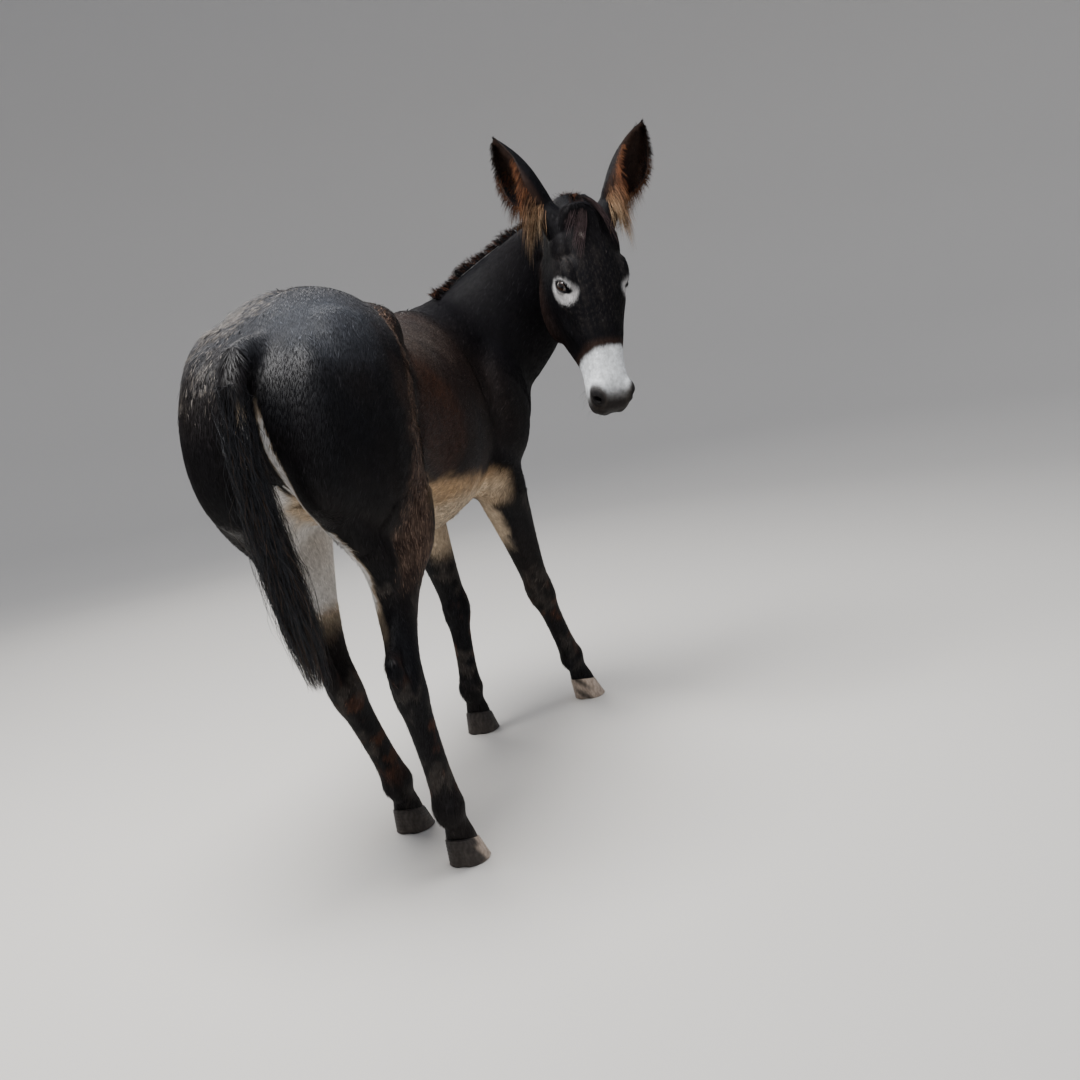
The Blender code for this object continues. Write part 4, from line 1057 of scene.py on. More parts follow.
# Bumps and hollows of the face, in the head's frame: place, reach and height
FACE_FORMS = [
    ((0.146, 0.066, -0.012), (0.024, 0.018, 0.016), -0.005),
    ((0.196, 0.077, -0.014), (0.036, 0.014, 0.010), 0.004),
    ((0.248, 0.084, -0.066), (0.030, 0.014, 0.012), -0.003),
    ((0.300, 0.075, -0.092), (0.060, 0.016, 0.008), 0.004),
    ((0.320, 0.066, -0.060), (0.055, 0.016, 0.016), -0.004),
    ((0.370, 0.050, -0.040), (0.060, 0.012, 0.010), 0.003),
    ((0.240, 0.070, -0.140), (0.035, 0.024, 0.050), 0.004),
    ((0.330, 0.055, -0.140), (0.050, 0.020, 0.018), -0.005),
    ((0.090, 0.070, -0.150), (0.018, 0.020, 0.070), -0.006),
    ((0.545, 0.058, -0.056), (0.026, 0.012, 0.020), 0.004),
    ((0.500, 0.050, -0.070), (0.022, 0.014, 0.018), -0.003),
    ((0.575, 0.016, -0.095), (0.014, 0.014, 0.012), 0.003),
    ((0.020, 0.052, -0.010), (0.030, 0.016, 0.020), 0.004),
]

# Bumps and hollows of the body: place, reach, height and whether both sides have it
BODY_FORMS = [
    ((-0.600, 0.0, 1.240), (0.060, 0.012, 0.050), -0.005, False),
    ((-0.300, 0.0, 1.330), (0.260, 0.014, 0.050), -0.006, False),
    ((-0.200, 0.170, 1.130), (0.080, 0.050, 0.070), -0.016, True),
    ((-0.205, 0.150, 1.225), (0.045, 0.040, 0.035), 0.010, True),
    ((-0.225, 0.195, 0.960), (0.040, 0.050, 0.130), -0.014, True),
    ((-0.300, 0.200, 0.900), (0.050, 0.050, 0.120), 0.008, True),
    ((0.130, 0.200, 0.950), (0.180, 0.080, 0.160), 0.006, True),
    ((0.400, 0.170, 1.050), (0.018, 0.060, 0.150), -0.008, True),
    ((0.360, 0.150, 0.810), (0.030, 0.050, 0.050), -0.008, True),
    ((-0.500, 0.170, 0.930), (0.020, 0.060, 0.150), -0.007, True),
    ((-0.545, 0.100, 1.130), (0.050, 0.040, 0.050), 0.006, True),
]


def sculpt(body):
    """Bones, hollows and muscle edges that the solids leave out."""
    body.data.update()
    points = mesh_points(body.data)
    normals = mesh_normals(body.data)
    for (along, aside, out), radii, amount in FACE_FORMS:
        for sign in (1, -1):
            place = np.array((along, sign * aside, out))
            press(points, normals, in_head(points) - place, radii, amount)
    for (x, y, z), radii, amount, both in BODY_FORMS:
        for sign in ((1, -1) if both else (1,)):
            place = np.array((x, sign * y + rump_shift(x), z))
            press(points, normals, points - place, radii, amount)
    ribs = hump(-0.20, -0.08, 0.28, 0.36, points[:, 0])
    ribs *= hump(0.80, 0.88, 1.08, 1.16, points[:, 2])
    ribs *= np.abs(normals[:, 1]) > 0.5
    wave = np.sin((points[:, 0] + 0.30 * (points[:, 2] - 1.0)) * 2 * math.pi / RIB_SPACING)
    points += normals * (wave * ribs * RIB_HEIGHT)[:, None]
    groove = bell(points[:, 1], -0.022, 0.020) * (points[:, 0] < -0.50)
    groove *= hump(0.76, 0.86, 1.02, 1.14, points[:, 2])
    points += np.outer(groove, (GROOVE_DEPTH, 0.0, 0.0))
    fine = region_of(points) >= FACE
    depth = np.where(fine, FINE_DEPTH, COAT_DEPTH)
    points -= normals * depth[:, None]
    set_points(body.data, points)


def eye_centre(sign):
    return on_head(EYE_ALONG, sign * EYE_ASIDE, -EYE_BELOW)


def eye_gap(local, sign):
    """Distance from an eye's middle, for points in the head's frame."""
    return np.linalg.norm(local - np.array((EYE_ALONG, sign * EYE_ASIDE, -EYE_BELOW)), axis=1)


def lid_axes(sign):
    """Along the slit, from the outer corner down to the inner one, and across it towards the brow."""
    look = eye_outward(sign)
    slit = HEAD.to_3x3() @ Vector((1.0, -sign * 0.66, 0.92))
    slit = (slit - look * slit.dot(look)).normalized()
    rise = look.cross(slit).normalized()
    if rise.dot(HEAD.to_3x3() @ Vector((-1.0, 0.0, 1.0))) < 0:
        rise = -rise
    return slit, rise


def lid_shell(sign):
    """Both lids of an eye as one cup over the ball, open along an almond slit."""
    look = eye_outward(sign)
    centre = eye_centre(sign)
    slit, rise = lid_axes(sign)
    rings = []
    around = 56
    for level, proud in LID_ROWS:
        ring = []
        for step in range(around):
            angle = 2 * math.pi * step / around
            across = math.cos(angle)
            tall = math.sin(angle)
            high = SLIT_ABOVE if tall > 0 else SLIT_BELOW
            start = math.hypot(SLIT_LONG * across, high * tall * abs(tall) ** 0.3)
            reach = start + (LID_REACH - start) * level
            swing = slit * across * SLIT_LONG + rise * high * tall
            swing = swing.normalized() if level < 0.5 else (slit * across + rise * tall).normalized()
            radius = EYE_RADIUS + proud
            if tall > 0 and 0.04 < level < 0.5:
                radius += 0.0012 * tall
            ring.append(centre + (look * math.cos(reach) + swing * math.sin(reach)) * radius)
        rings.append(ring)
    bm = bmesh.new()
    loops = [[bm.verts.new(point) for point in ring] for ring in rings]
    join_loops(bm, loops, loops[1:] + loops[:1])
    bmesh.ops.triangulate(bm, faces=bm.faces)
    return object_from("lids", bm)


def eye_ball(name, sign, radius, segments):
    turn = eye_outward(sign).to_track_quat("Z", "X").to_matrix().to_4x4()
    return sphere_body(name, segments, radius, Matrix.Translation(eye_centre(sign)) @ turn)


def fine_ear(hand):
    """A rolled leaf with an open cup that narrows to a round root in the skull."""
    place = ear_frame(hand)
    steps = 44
    arc = 22
    length = EAR_LENGTH - EAR_STUMP
    rings = []
    for step in range(steps + 1):
        t = step / steps
        radius, roll, shell = ear_section(t)[1:]
        radius -= EAR_SKIN_DEPTH
        shell = max(EAR_THINNEST, shell * (1 - 0.45 * t))
        outer_arc = []
        inner_arc = []
        for index in range(arc + 1):
            angle = roll * (-1 + 2 * index / arc)
            edge = 1 - 0.25 * (abs(angle) / roll) ** 8
            wave = 0.0012 * math.sin(9 * t + 3 * angle)
            outer_arc.append(place @ ear_point(hand, t, angle, radius + wave, length))
            inner_arc.append(place @ ear_point(hand, t, angle, radius + wave - shell * edge, length))
        rings.append(outer_arc + list(reversed(inner_arc)))
    bm = bmesh.new()
    bridge_rings(bm, rings)
    bmesh.ops.triangulate(bm, faces=bm.faces)
    return object_from("ear", bm)


def ear_root(hand):
    """The muscled root that carries the ear out of the skull, with the bottom of the cup in it."""
    place = ear_frame(hand)
    rings = []
    sides = 36
    for depth, radius in EAR_ROOT:
        ring = []
        for step in range(sides):
            angle = 2 * math.pi * step / sides
            ring.append(place @ Vector((radius * math.cos(angle), radius * math.sin(angle), depth)))
        rings.append(ring)
    bm = bmesh.new()
    bridge_rings(bm, rings)
    bmesh.ops.triangulate(bm, faces=bm.faces)
    return object_from("ear_root", bm)


def make_skin():
    """The whole skin: fused forms, finer head, sculpted forms, lids, ears, nostrils and mouth."""
    body = fuse_forms()
    refine_head(body)
    sculpt(body)
    added = [lid_shell(sign) for sign in (1, -1)]
    for hand in ("left", "right"):
        added += [ear_root(hand), fine_ear(hand)]
    cut(body, added, "UNION")
    tools = [eye_ball("socket", sign, EYE_RADIUS + 0.0004, 40) for sign in (1, -1)]
    cut(body, tools + nostril_cutters() + [mouth_cutter()], "DIFFERENCE")
    bm = bmesh.new()
    bm.from_mesh(body.data)
    bm.verts.index_update()
    spare = [vert for part in islands(bm)[1:] for vert in part]
    bmesh.ops.delete(bm, geom=spare, context="VERTS")
    bmesh.ops.triangulate(bm, faces=bm.faces)
    bm.to_mesh(body.data)
    bm.free()
    points = mesh_points(body.data)
    local = in_head(points)
    weights = np.zeros(len(points))
    for hand in ("left", "right"):
        ear = ear_places(points, hand)[0]
        root = bell(ear[:, 2], -0.035, 0.022) * (np.hypot(ear[:, 0], ear[:, 1]) < 0.07)
        weights = np.maximum(weights, root)
    for sign in (1, -1):
        weights = np.maximum(weights, 0.8 * bell(eye_gap(local, sign), 0.031, 0.007))
    nose = step_up(0.48, 0.50, local[:, 0]) * 0.25
    weights = np.maximum(weights, nose * (head_share(points) > 0.5))
    smooth_part(body, weights, 14)
    return body


def islands(bm):
    """Connected sets of vertices, the largest first."""
    seen = set()
    found = []
    for start in bm.verts:
        if start.index in seen:
            continue
        seen.add(start.index)
        stack = [start]
        part = []
        while stack:
            vert = stack.pop()
            part.append(vert)
            for edge in vert.link_edges:
                other = edge.other_vert(vert)
                if other.index not in seen:
                    seen.add(other.index)
                    stack.append(other)
        found.append(part)
    return sorted(found, key=len, reverse=True)


def blend_to(colours, colour, share):
    """Mix a colour in by each point's share."""
    share = np.clip(share, 0, 1)[:, None]
    return colours * (1 - share) + np.array(colour) * share


def patch(points, name, edge=0.35):
    """A soft-edged, ragged patch: 1 inside an ellipsoid."""
    place, radii, rough, seed = PATCHES[name]
    local = (points - np.array(place)) / np.array(radii)
    gap = np.linalg.norm(local, axis=1) + rough * ripple(points, 28.0, seed)
    return 1 - step_up(1 - edge, 1 + edge * 0.5, gap)


def inner_thighs(points, normals):
    """The pale insides of the thighs and gaskins, facing one another."""
    share = np.zeros(len(points))
    for index, (hand, sign) in enumerate(HANDS):
        gap = along_limb(points, HIND[hand], HIND_NAMES)[0]
        middles = [HIND[hand][joint][1] for joint in ("hock", "gaskin", "stifle")] + [sign * 0.11 - 0.02]
        axis_y = np.interp(points[:, 2], [0.47, 0.63, 0.80, 1.10], middles)
        inward = -sign * normals[:, 1]
        side = -sign * (points[:, 1] - axis_y) + 0.012 * ripple(points, 30.0, 5 + index)
        side = step_up(-0.01, 0.022, side)
        high = step_up(0.53, 0.66, points[:, 2] + 0.02 * ripple(points, 22.0, 9))
        high = high * (1 - step_up(1.05, 1.12, points[:, 2]))
        near = gap < 0.22
        share = np.maximum(share, side * step_up(0.15, 0.45, inward) * high * near)
    return share


def split_edge(points):
    """The pale strip down the inner edge of the right buttock, beside the tail."""
    levels = [0.66, 0.80, 0.95, 1.10]
    middle = np.interp(points[:, 2], levels, [-0.080, -0.070, -0.060, -0.050])
    half = np.interp(points[:, 2], levels, [0.034, 0.024, 0.013, 0.005])
    near = 1 - step_up(0.5, 1.2, np.abs(points[:, 1] - middle) / half)
    high = hump(0.64, 0.72, 1.04, 1.12, points[:, 2])
    return near * high * (points[:, 0] < -0.50)


def coat_colours(points, normals):
    """The animal's markings, on the skin and on every tuft's root alike."""
    fine = ripple(points, 60.0, 1)
    broad = ripple(points, 12.0, 2)
    head = head_share(points)
    neck = neck_share(points) * (1 - head)
    leg = leg_share(points) * (1 - neck) * (1 - head)
    torso = (1 - leg) * (1 - neck) * (1 - head)
    colours = np.tile(np.array(BLACK), (len(points), 1))
    colours = blend_to(colours, BROWN_BLACK, 0.40 + 0.45 * broad)
    colours = trunk_colours(points, colours, fine, broad, torso)
    colours = blend_to(colours, BLACK, neck * 0.75)
    colours = pale_colours(points, normals, colours, fine, broad, torso)
    colours = leg_colours(points, normals, colours, fine, leg)
    return face_colours(points, normals, head, colours, fine)


def trunk_colours(points, colours, fine, broad, torso):
    """Chocolate barrel, a painted blue-grey sheen on the croup and right rump, a painted highlight in a dusty
    tone over the loin, painted shade in the right flank's hollow, rusty flanks and the brown seams of the
    thighs.
    """
    barrel = hump(-0.24, -0.10, 0.26, 0.42, points[:, 0])
    colours = blend_to(colours, CHOCOLATE, barrel * torso * (0.34 + 0.20 * broad))
    # Painted highlight: the strongly lit back over the loin made paler in a dusty tone
    loin = patch(points, "loin", 0.9)
    colours = blend_to(colours, DUSTY, 0.17 * loin * torso)
    # Painted shade: the hollow of the right flank darkened towards black
    hollow_shade = patch(points, "hollow_shade")
    colours = blend_to(colours, BLACK, 0.65 * hollow_shade * torso)
    streak = step_up(0.0, 0.8, ripple(points * np.array((0.35, 1.6, 1.0)), 70.0, 13))
    # Painted sheen: the top of the croup turned blue-grey, standing for the sky's reflection
    top = step_up(1.12, 1.32, points[:, 2]) * (1 - step_up(-0.40, 0.05, points[:, 0] + 0.06 * broad))
    dock = shares(points)["tail"]
    colours = blend_to(colours, PAINTED_SHEEN, 0.55 * top * torso * (1 - 0.8 * dock))
    # Painted sheen on the right rump, in the same blue-grey
    rump = patch(points, "rump")
    colours = blend_to(colours, PAINTED_SHEEN, 0.25 * rump * torso)
    warm = patch(points, "thigh")
    colours = blend_to(colours, CHOCOLATE, 0.45 * warm * torso)
    frizz = frosted(points)
    colours = blend_to(colours, DUSTY, 0.22 * frizz * step_up(-0.5, 0.5, fine) * (0.4 + 0.6 * streak))
    flank = patch(points, "flank_right")
    flank = np.maximum(flank, 0.5 * patch(points, "flank_left"))
    colours = blend_to(colours, RUST, 0.18 * flank * torso)
    edge = thigh_edge(points)
    colours = blend_to(colours, CHOCOLATE, 0.80 * edge)
    colours = blend_to(colours, EDGE_BROWN, 0.50 * edge * step_up(-0.2, 0.7, fine))
    return colours


def pale_colours(points, normals, colours, fine, broad, torso):
    """Tan and cream belly, and the pale insides of the thighs and the groin."""
    span = hump(-0.36, -0.24, 0.36, 0.44, points[:, 0])
    edge_line = 0.815 - 0.10 * (points[:, 0] - 0.05)
    belly = span * torso * (1 - step_up(-0.02, 0.02, points[:, 2] - edge_line + 0.012 * broad + 0.008 * fine))
    colours = blend_to(colours, TAN, belly)
    pale = 1 - step_up(0.740, 0.800, points[:, 2] + 0.012 * fine)
    colours = blend_to(colours, CREAM, belly * pale)
    inner = np.maximum(inner_thighs(points, normals), split_edge(points))
    colours = blend_to(colours, CREAM, inner)
    colours = blend_to(colours, WHITE, 0.70 * step_up(0.5, 0.95, inner))
    groin = patch(points, "groin") * (np.abs(normals[:, 1]) < 0.8)
    groin = np.maximum(groin, patch(points, "groin_back"))
    colours = blend_to(colours, CREAM, groin)
    return colours


def frosted(points):
    """Where sun-bleached, ruffled hair lies over the top and left of the croup."""
    high = patch(points, "bleached_top")
    high = np.maximum(high, 0.45 * patch(points, "bleached_left"))
    dock = 1 - step_up(0.05, 0.09, np.hypot(points[:, 1] - TAILHEAD.y, (points[:, 2] - TAILHEAD.z) * 0.7))
    return high * (1 - dock * (points[:, 0] < -0.50))


def flecked(points, colours, draw):
    """Single tufts of bleached hair among the dark ones."""
    chance = draw.random(len(points))
    share = draw.random(len(points))[:, None]
    pale = chance < 0.30 * frosted(points)
    tone = np.array(DUSTY) * 0.40 * (1 - share) + np.array(FROST) * 0.42 * share
    colours[pale] = tone[pale]
    brown = (chance > 0.45) & (draw.random(len(points)) < 0.85 * thigh_edge(points))
    tone = np.array(CHOCOLATE) * (1 - share) + np.array(EDGE_BROWN) * 1.7 * share
    colours[brown] = tone[brown]
    return colours


def thigh_edge(points):
    """The ruffled front edge of each thigh, from the hip point to the stifle."""
    middle = np.interp(points[:, 2], [0.60, 0.80, 1.00, 1.18, 1.28], [-0.410, -0.372, -0.322, -0.265, -0.230])
    ragged = 0.020 * ripple(points, 34.0, 8)
    reach = np.interp(points[:, 2], [0.62, 0.85, 1.05, 1.25], [0.125, 0.105, 0.070, 0.045])
    near = 1 - step_up(0.25, 1.0, np.abs(points[:, 0] - middle + ragged) / reach)
    side = step_up(0.085, 0.125, np.abs(points[:, 1] - rump_shift(-0.3)))
    weaker = np.where(points[:, 1] > 0, 0.45, 1.0)
    return near * side * weaker * hump(0.62, 0.72, 1.18, 1.30, points[:, 2])


def leg_colours(points, normals, colours, fine, leg):
    """Rusty fronts of the cannons, dusty hocks and pale inner forearms."""
    gaps = leg_gaps(points)
    nearest = np.argmin(gaps, axis=0)
    for index, (name, joints, names) in enumerate(LEGS):
        here = leg * (nearest == index)
        lower = up_from_hoof(points, joints, names)
        rust = hump(1.0, 1.3, 1.75, 2.25, lower)
        rust = rust * step_up(-0.1, 0.5, fine + 0.5 * normals[:, 0])
        colours = blend_to(colours, RUST, 0.38 * rust * here)
        dusty = step_up(0.25, 0.75, ripple(points, 45.0, 20 + index)) * (lower < 3.2)
        colours = blend_to(colours, DUSTY, 0.14 * dusty * here)
        if "fore" in name:
            sign = 1 if "left" in name else -1
            arm = step_up(0.10, 0.60, -sign * normals[:, 1] - 0.25 * normals[:, 0] + 0.2 * fine)
            arm = arm * hump(0.53, 0.60, 0.70, 0.76, points[:, 2])
            colours = blend_to(colours, CREAM, 0.80 * arm * here)
    return colours


def nostril_colours(local, colours, head, sign):
    """Grey wing and black rim of a nostril."""
    nostril = local - np.array((0.566, sign * 0.052, -0.054))
    wing = np.linalg.norm(nostril / np.array((0.050, 0.028, 0.034)), axis=1)
    colours = blend_to(colours, NOSE_GREY, 0.9 * head * (1 - step_up(0.7, 1.15, wing)))
    colours = blend_to(colours, BLACK, 0.8 * head * (1 - step_up(0.52, 0.90, wing)))
    return colours


def eye_ring_colours(points, colours, head, fine, sign):
    """White ring and dark lid margin of an eye."""
    look = np.array(eye_outward(sign))
    slit, rise = (np.array(way) for way in lid_axes(sign))
    gap = points - np.array(eye_centre(sign))
    along = gap @ slit
    tall = gap @ rise
    ring = np.hypot((along - 0.008) / 0.044, (tall + 0.009) / 0.037) + 0.08 * fine
    facing = (gap @ look > -0.012) & (np.linalg.norm(gap, axis=1) < 0.07)
    white = 0.92 - 0.35 * step_up(0.0, 0.030, tall)
    colours = blend_to(colours, EYE_RING, white * head * facing * (1 - step_up(0.70, 1.10, ring)))
    margin = np.hypot((along - 0.0040) / 0.0300, (tall - 0.0010) / 0.0155)
    colours = blend_to(colours, BLACK, head * facing * (1 - step_up(0.90, 1.14, margin)))
    return colours


def ear_colours(points, normals, colours, hand):
    """Chocolate cup and tip of a black ear."""
    ear, inside = ear_places(points, hand)
    turn = np.array(ear_frame(hand).to_3x3())
    facing = normals @ turn[:, 0]
    up = ear[:, 2] / EAR_LENGTH
    cup = step_up(0.05, 0.5, facing) * step_up(-0.050, -0.020, ear[:, 0]) * step_up(0.00, 0.03, ear[:, 2])
    colours = blend_to(colours, BLACK, inside * 0.7)
    colours = blend_to(colours, CHOCOLATE, inside * cup * 0.8 * (1 - step_up(0.62, 0.85, up)))
    tip = step_up(0.72, 0.84, up)
    colours = blend_to(colours, CHOCOLATE, inside * tip * 0.5)
    return colours


def face_colours(points, normals, head, colours, fine):
    """White muzzle, eye rings and grizzled brow."""
    local = in_head(points)
    speckle = step_up(0.10, 0.70, ripple(points, 170.0, 30))
    colours = blend_to(colours, BLACK, 0.6 * head)
    brow = hump(0.06, 0.16, 0.33, 0.42, local[:, 0])
    brow = brow * step_up(-0.09, -0.03, local[:, 2])
    grain = step_up(0.25, 0.8, ripple(points, 620.0, 33))
    colours = blend_to(colours, DUSTY, head * brow * (0.03 * speckle + 0.08 * grain))
    cheek = step_up(0.0, 0.10, -local[:, 2] - 0.10) * step_up(0.04, 0.07, np.abs(local[:, 1]))
    colours = blend_to(colours, CHOCOLATE, 0.35 * head * cheek)
    slant = local[:, 0] - 0.34 * np.maximum(0.0, -local[:, 2] - 0.035) + 0.005 * fine
    colours = blend_to(colours, CHOCOLATE, 0.7 * head * step_up(0.385, 0.412, slant))
    colours = blend_to(colours, WHITE, head * step_up(0.412, 0.430, slant))
    wide = np.abs(local[:, 1])
    flat = 0.25 * np.maximum(0.0, wide - 0.034)
    tip = step_up(0.512, 0.572, local[:, 0] + 0.006 * fine - flat)
    colours = blend_to(colours, NOSE_GREY, 0.92 * head * tip)
    lips = step_up(0.564, 0.584, local[:, 0] + 0.004 * fine - flat)
    colours = blend_to(colours, BROWN_BLACK, 0.9 * head * lips)
    for sign in (1, -1):
        colours = nostril_colours(local, colours, head, sign)
        colours = eye_ring_colours(points, colours, head, fine, sign)
    star = np.linalg.norm((local - np.array((0.084, -0.028, 0.014))) / np.array((0.011, 0.006, 0.02)), axis=1)
    colours = blend_to(colours, FROST, 0.9 * head * (1 - step_up(0.8, 1.2, star)))
    for hand in ("left", "right"):
        colours = ear_colours(points, normals, colours, hand)
    return colours


# Hair by part: length and width of a tuft in metres, tufts a square metre
COAT = {
    "torso": (0.017, 0.0024, 58000), "neck": (0.015, 0.0022, 62000), "head": (0.0085, 0.0016, 130000),
    "tail": (0.030, 0.0030, 30000), "leg": (0.0105, 0.0020, 66000), "ear": (0.010, 0.0018, 90000),
}


def shares(points):
    """How much each point belongs to trunk, neck, head, tail and legs."""
    head = head_share(points)
    neck = neck_share(points) * (1 - head)
    leg = leg_share(points) * (1 - neck) * (1 - head)
    tail = 1 - step_up(TAILHEAD.x - 0.035, TAILHEAD.x - 0.005, points[:, 0])
    tail = tail * (1 - step_up(0.045, 0.065, np.abs(points[:, 1] - TAILHEAD.y))) * (points[:, 2] > 0.6)
    torso = (1 - leg) * (1 - neck) * (1 - head) * (1 - tail)
    return {"torso": torso, "neck": neck, "head": head, "tail": tail, "leg": leg * (1 - tail)}


def coat_size(points, region):
    """Length and width of the hair, changing smoothly from part to part."""
    length = np.zeros(len(points))
    width = np.zeros(len(points))
    total = np.zeros(len(points))
    for kind, share in shares(points).items():
        length += share * COAT[kind][0]
        width += share * COAT[kind][1]
        total += share
    length /= np.maximum(total, 1e-6)
    width /= np.maximum(total, 1e-6)
    ear = region >= FIRST_EAR
    length[ear] = COAT["ear"][0]
    width[ear] = COAT["ear"][1]
    return length, width


def lie_ways(points, normals, region):
    """The way the coat lies, in the skin's plane."""
    part = shares(points)
    rump = 1 - step_up(-0.60, -0.28, points[:, 0])
    trunk = np.stack((-1.0 + 0.45 * rump, np.zeros(len(points)), -0.40 - 1.0 * rump), axis=1)
    chest = step_up(0.48, 0.64, points[:, 0])
    trunk += chest[:, None] * np.array((0.8, 0.0, -0.8))
    trunk[:, 1] += 0.25 * np.sign(points[:, 1] - rump_shift(-0.4)) * step_up(0.3, 0.8, normals[:, 2])
    under = step_up(0.4, 0.8, -normals[:, 2])[:, None]
    trunk = trunk * (1 - under) + np.array((-1.0, 0.0, 0.0)) * under
    crest = to_array([row[0] for row in NECK_CREST])
    flow = to_array([row[3] for row in NECK_CREST])
    near = np.argmin(((points[:, None, :] - crest[None, :, :]) ** 2).sum(2), axis=1)
    neck = unit(-flow[near] + np.array((0, 0, -0.75)))
    ways = unit(trunk) * part["torso"][:, None] + neck * part["neck"][:, None]
    face = HEAD_TURN[:, 0] + np.array((0, 0, -0.15))
    ways = ways + face * part["head"][:, None]
    ways = ways + np.array((-0.1, 0.0, -1.0)) * part["tail"][:, None]
    back = np.where(points[:, 0] > 0.2, -0.12, -0.28)
    down = np.stack((back, np.zeros(len(points)), -np.ones(len(points))), axis=1)
    ways = ways + down * part["leg"][:, None]
    for index, hand in enumerate(("left", "right")):
        up = np.array(ear_frame(hand).to_3x3())[:, 2]
        ways[region == FIRST_EAR + index] = up
    sway = ripple(points, 9.0, 50)[:, None] * np.cross(normals, ways) * 0.22
    ways = ways + sway
    ways = ways - normals * np.sum(ways * normals, axis=1, keepdims=True)
    return unit(ways)


def shaggy(points, normals, region):
    """How much longer the hair is than the part's own length."""
    more = np.ones(len(points))
    more += 0.25 * frosted(points) + 0.3 * thigh_edge(points)
    belly = (region == TORSO) * (1 - step_up(0.77, 0.82, points[:, 2]))
    more += 0.5 * belly
    more -= 0.40 * step_up(0.5, 0.9, inner_thighs(points, normals))
    local = in_head(points)
    head = region == FACE
    jaw = step_up(0.10, 0.19, -local[:, 2]) * (1 - step_up(0.30, 0.40, local[:, 0]))
    more += head * (0.7 * jaw + 0.35 * (1 - step_up(0.05, 0.16, local[:, 0])))
    more -= head * 0.45 * step_up(0.38, 0.50, local[:, 0])
    for index, (_, joints, names) in enumerate(LEGS):
        here = region == FIRST_LEG + index
        lower = up_from_hoof(points, joints, names)
        rear = step_up(0.0, 0.6, -normals[:, 0])
        more += here * rear * (1.1 * bell(lower, 0.95, 0.35) + 0.7 * bell(lower, 2.1, 0.4))
        more += here * 0.4 * step_up(2.6, 3.4, lower)
    return np.maximum(more, 0.35)


class Skin:
    """The skin's triangles as arrays, for planting tufts."""

    def __init__(self, mesh):
        mesh.calc_loop_triangles()
        self.points = mesh_points(mesh)
        self.normals = mesh_normals(mesh)
        tris = np.empty(len(mesh.loop_triangles) * 3, dtype=np.int64)
        mesh.loop_triangles.foreach_get("vertices", tris)
        self.tris = tris.reshape(-1, 3)
        a, b, c = (self.points[self.tris[:, k]] for k in range(3))
        self.areas = 0.5 * np.linalg.norm(np.cross(b - a, c - a), axis=1)
        self.middles = (a + b + c) / 3
        self.face_normals = unit(np.cross(b - a, c - a))
        self.region = region_of(self.middles)

    def plant(self, pick, per_area, draw):
        """Random roots on the picked triangles: points and normals."""
        weight = self.areas * pick
        count = int(weight.sum() * per_area)
        chosen = draw.choice(len(weight), size=count, p=weight / weight.sum())
        share = draw.random((count, 2))
        flip = share.sum(1) > 1
        share[flip] = 1 - share[flip]
        w = np.stack((1 - share.sum(1), share[:, 0], share[:, 1]), axis=1)[:, :, None]
        corners = self.tris[chosen]
        points = (self.points[corners] * w).sum(1)
        normals = unit((self.normals[corners] * w).sum(1))
        return points, normals, self.region[chosen]


def mesh_from_arrays(name, points, tris, colours, normals, roots, root_normals, per_hair):
    """A mesh object from arrays, with point colours, normals and the bake map."""
    mesh = bpy.data.meshes.new(name)
    count = len(tris)
    mesh.vertices.add(len(points))
    mesh.vertices.foreach_set("co", points.ravel())
    mesh.loops.add(count * 3)
    mesh.loops.foreach_set("vertex_index", tris.ravel().astype(np.int32))
    mesh.polygons.add(count)
    mesh.polygons.foreach_set("loop_start", np.arange(0, count * 3, 3, dtype=np.int32))
    mesh.update(calc_edges=True)
    mesh.polygons.foreach_set("use_smooth", np.ones(count, dtype=bool))
    mesh.normals_split_custom_set_from_vertices(normals.astype(np.float32))
    add_colours(mesh, colours)
    spots = bake_spots(roots, root_normals)
    corner = tris.ravel()
    hair = corner // per_hair
    angle = (corner % per_hair) * 2.4
    spread = np.stack((np.cos(angle), np.sin(angle)), axis=1) * BAKE_PATCH / 2
    layer = mesh.uv_layers.new(name="OFBake")
    layer.data.foreach_set("uv", (spots[hair] + spread).astype(np.float32).ravel())
    thing = bpy.data.objects.new(name, mesh)
    bpy.context.scene.collection.objects.link(thing)
    return thing


def add_colours(mesh, colours):
    layer = mesh.color_attributes.new(name="Coat", type="FLOAT_COLOR", domain="POINT")
    full = np.ones((len(mesh.vertices), 4), dtype=np.float32)
    full[:, :3] = colours
    layer.data.foreach_set("color", full.ravel())


def bake_spots(points, normals):
    """Places on an unwrap of the piece's own skin: six sides, each in its own tile."""
    low = points.min(0)
    size = max((points.max(0) - low).max(), 0.01)
    local = (points - low) / size
    axis = np.argmax(np.abs(normals), axis=1)
    front = normals[np.arange(len(normals)), axis] > 0
    other = np.array(((1, 2), (0, 2), (0, 1)))[axis]
    rows = np.arange(len(points))
    u = local[rows, other[:, 0]]
    v = local[rows, other[:, 1]]
    tile = axis * 2 + front
    return np.stack(((tile % 3 + 0.03 + 0.94 * u) / 3, (tile // 3 + 0.03 + 0.94 * v) / 2), axis=1)


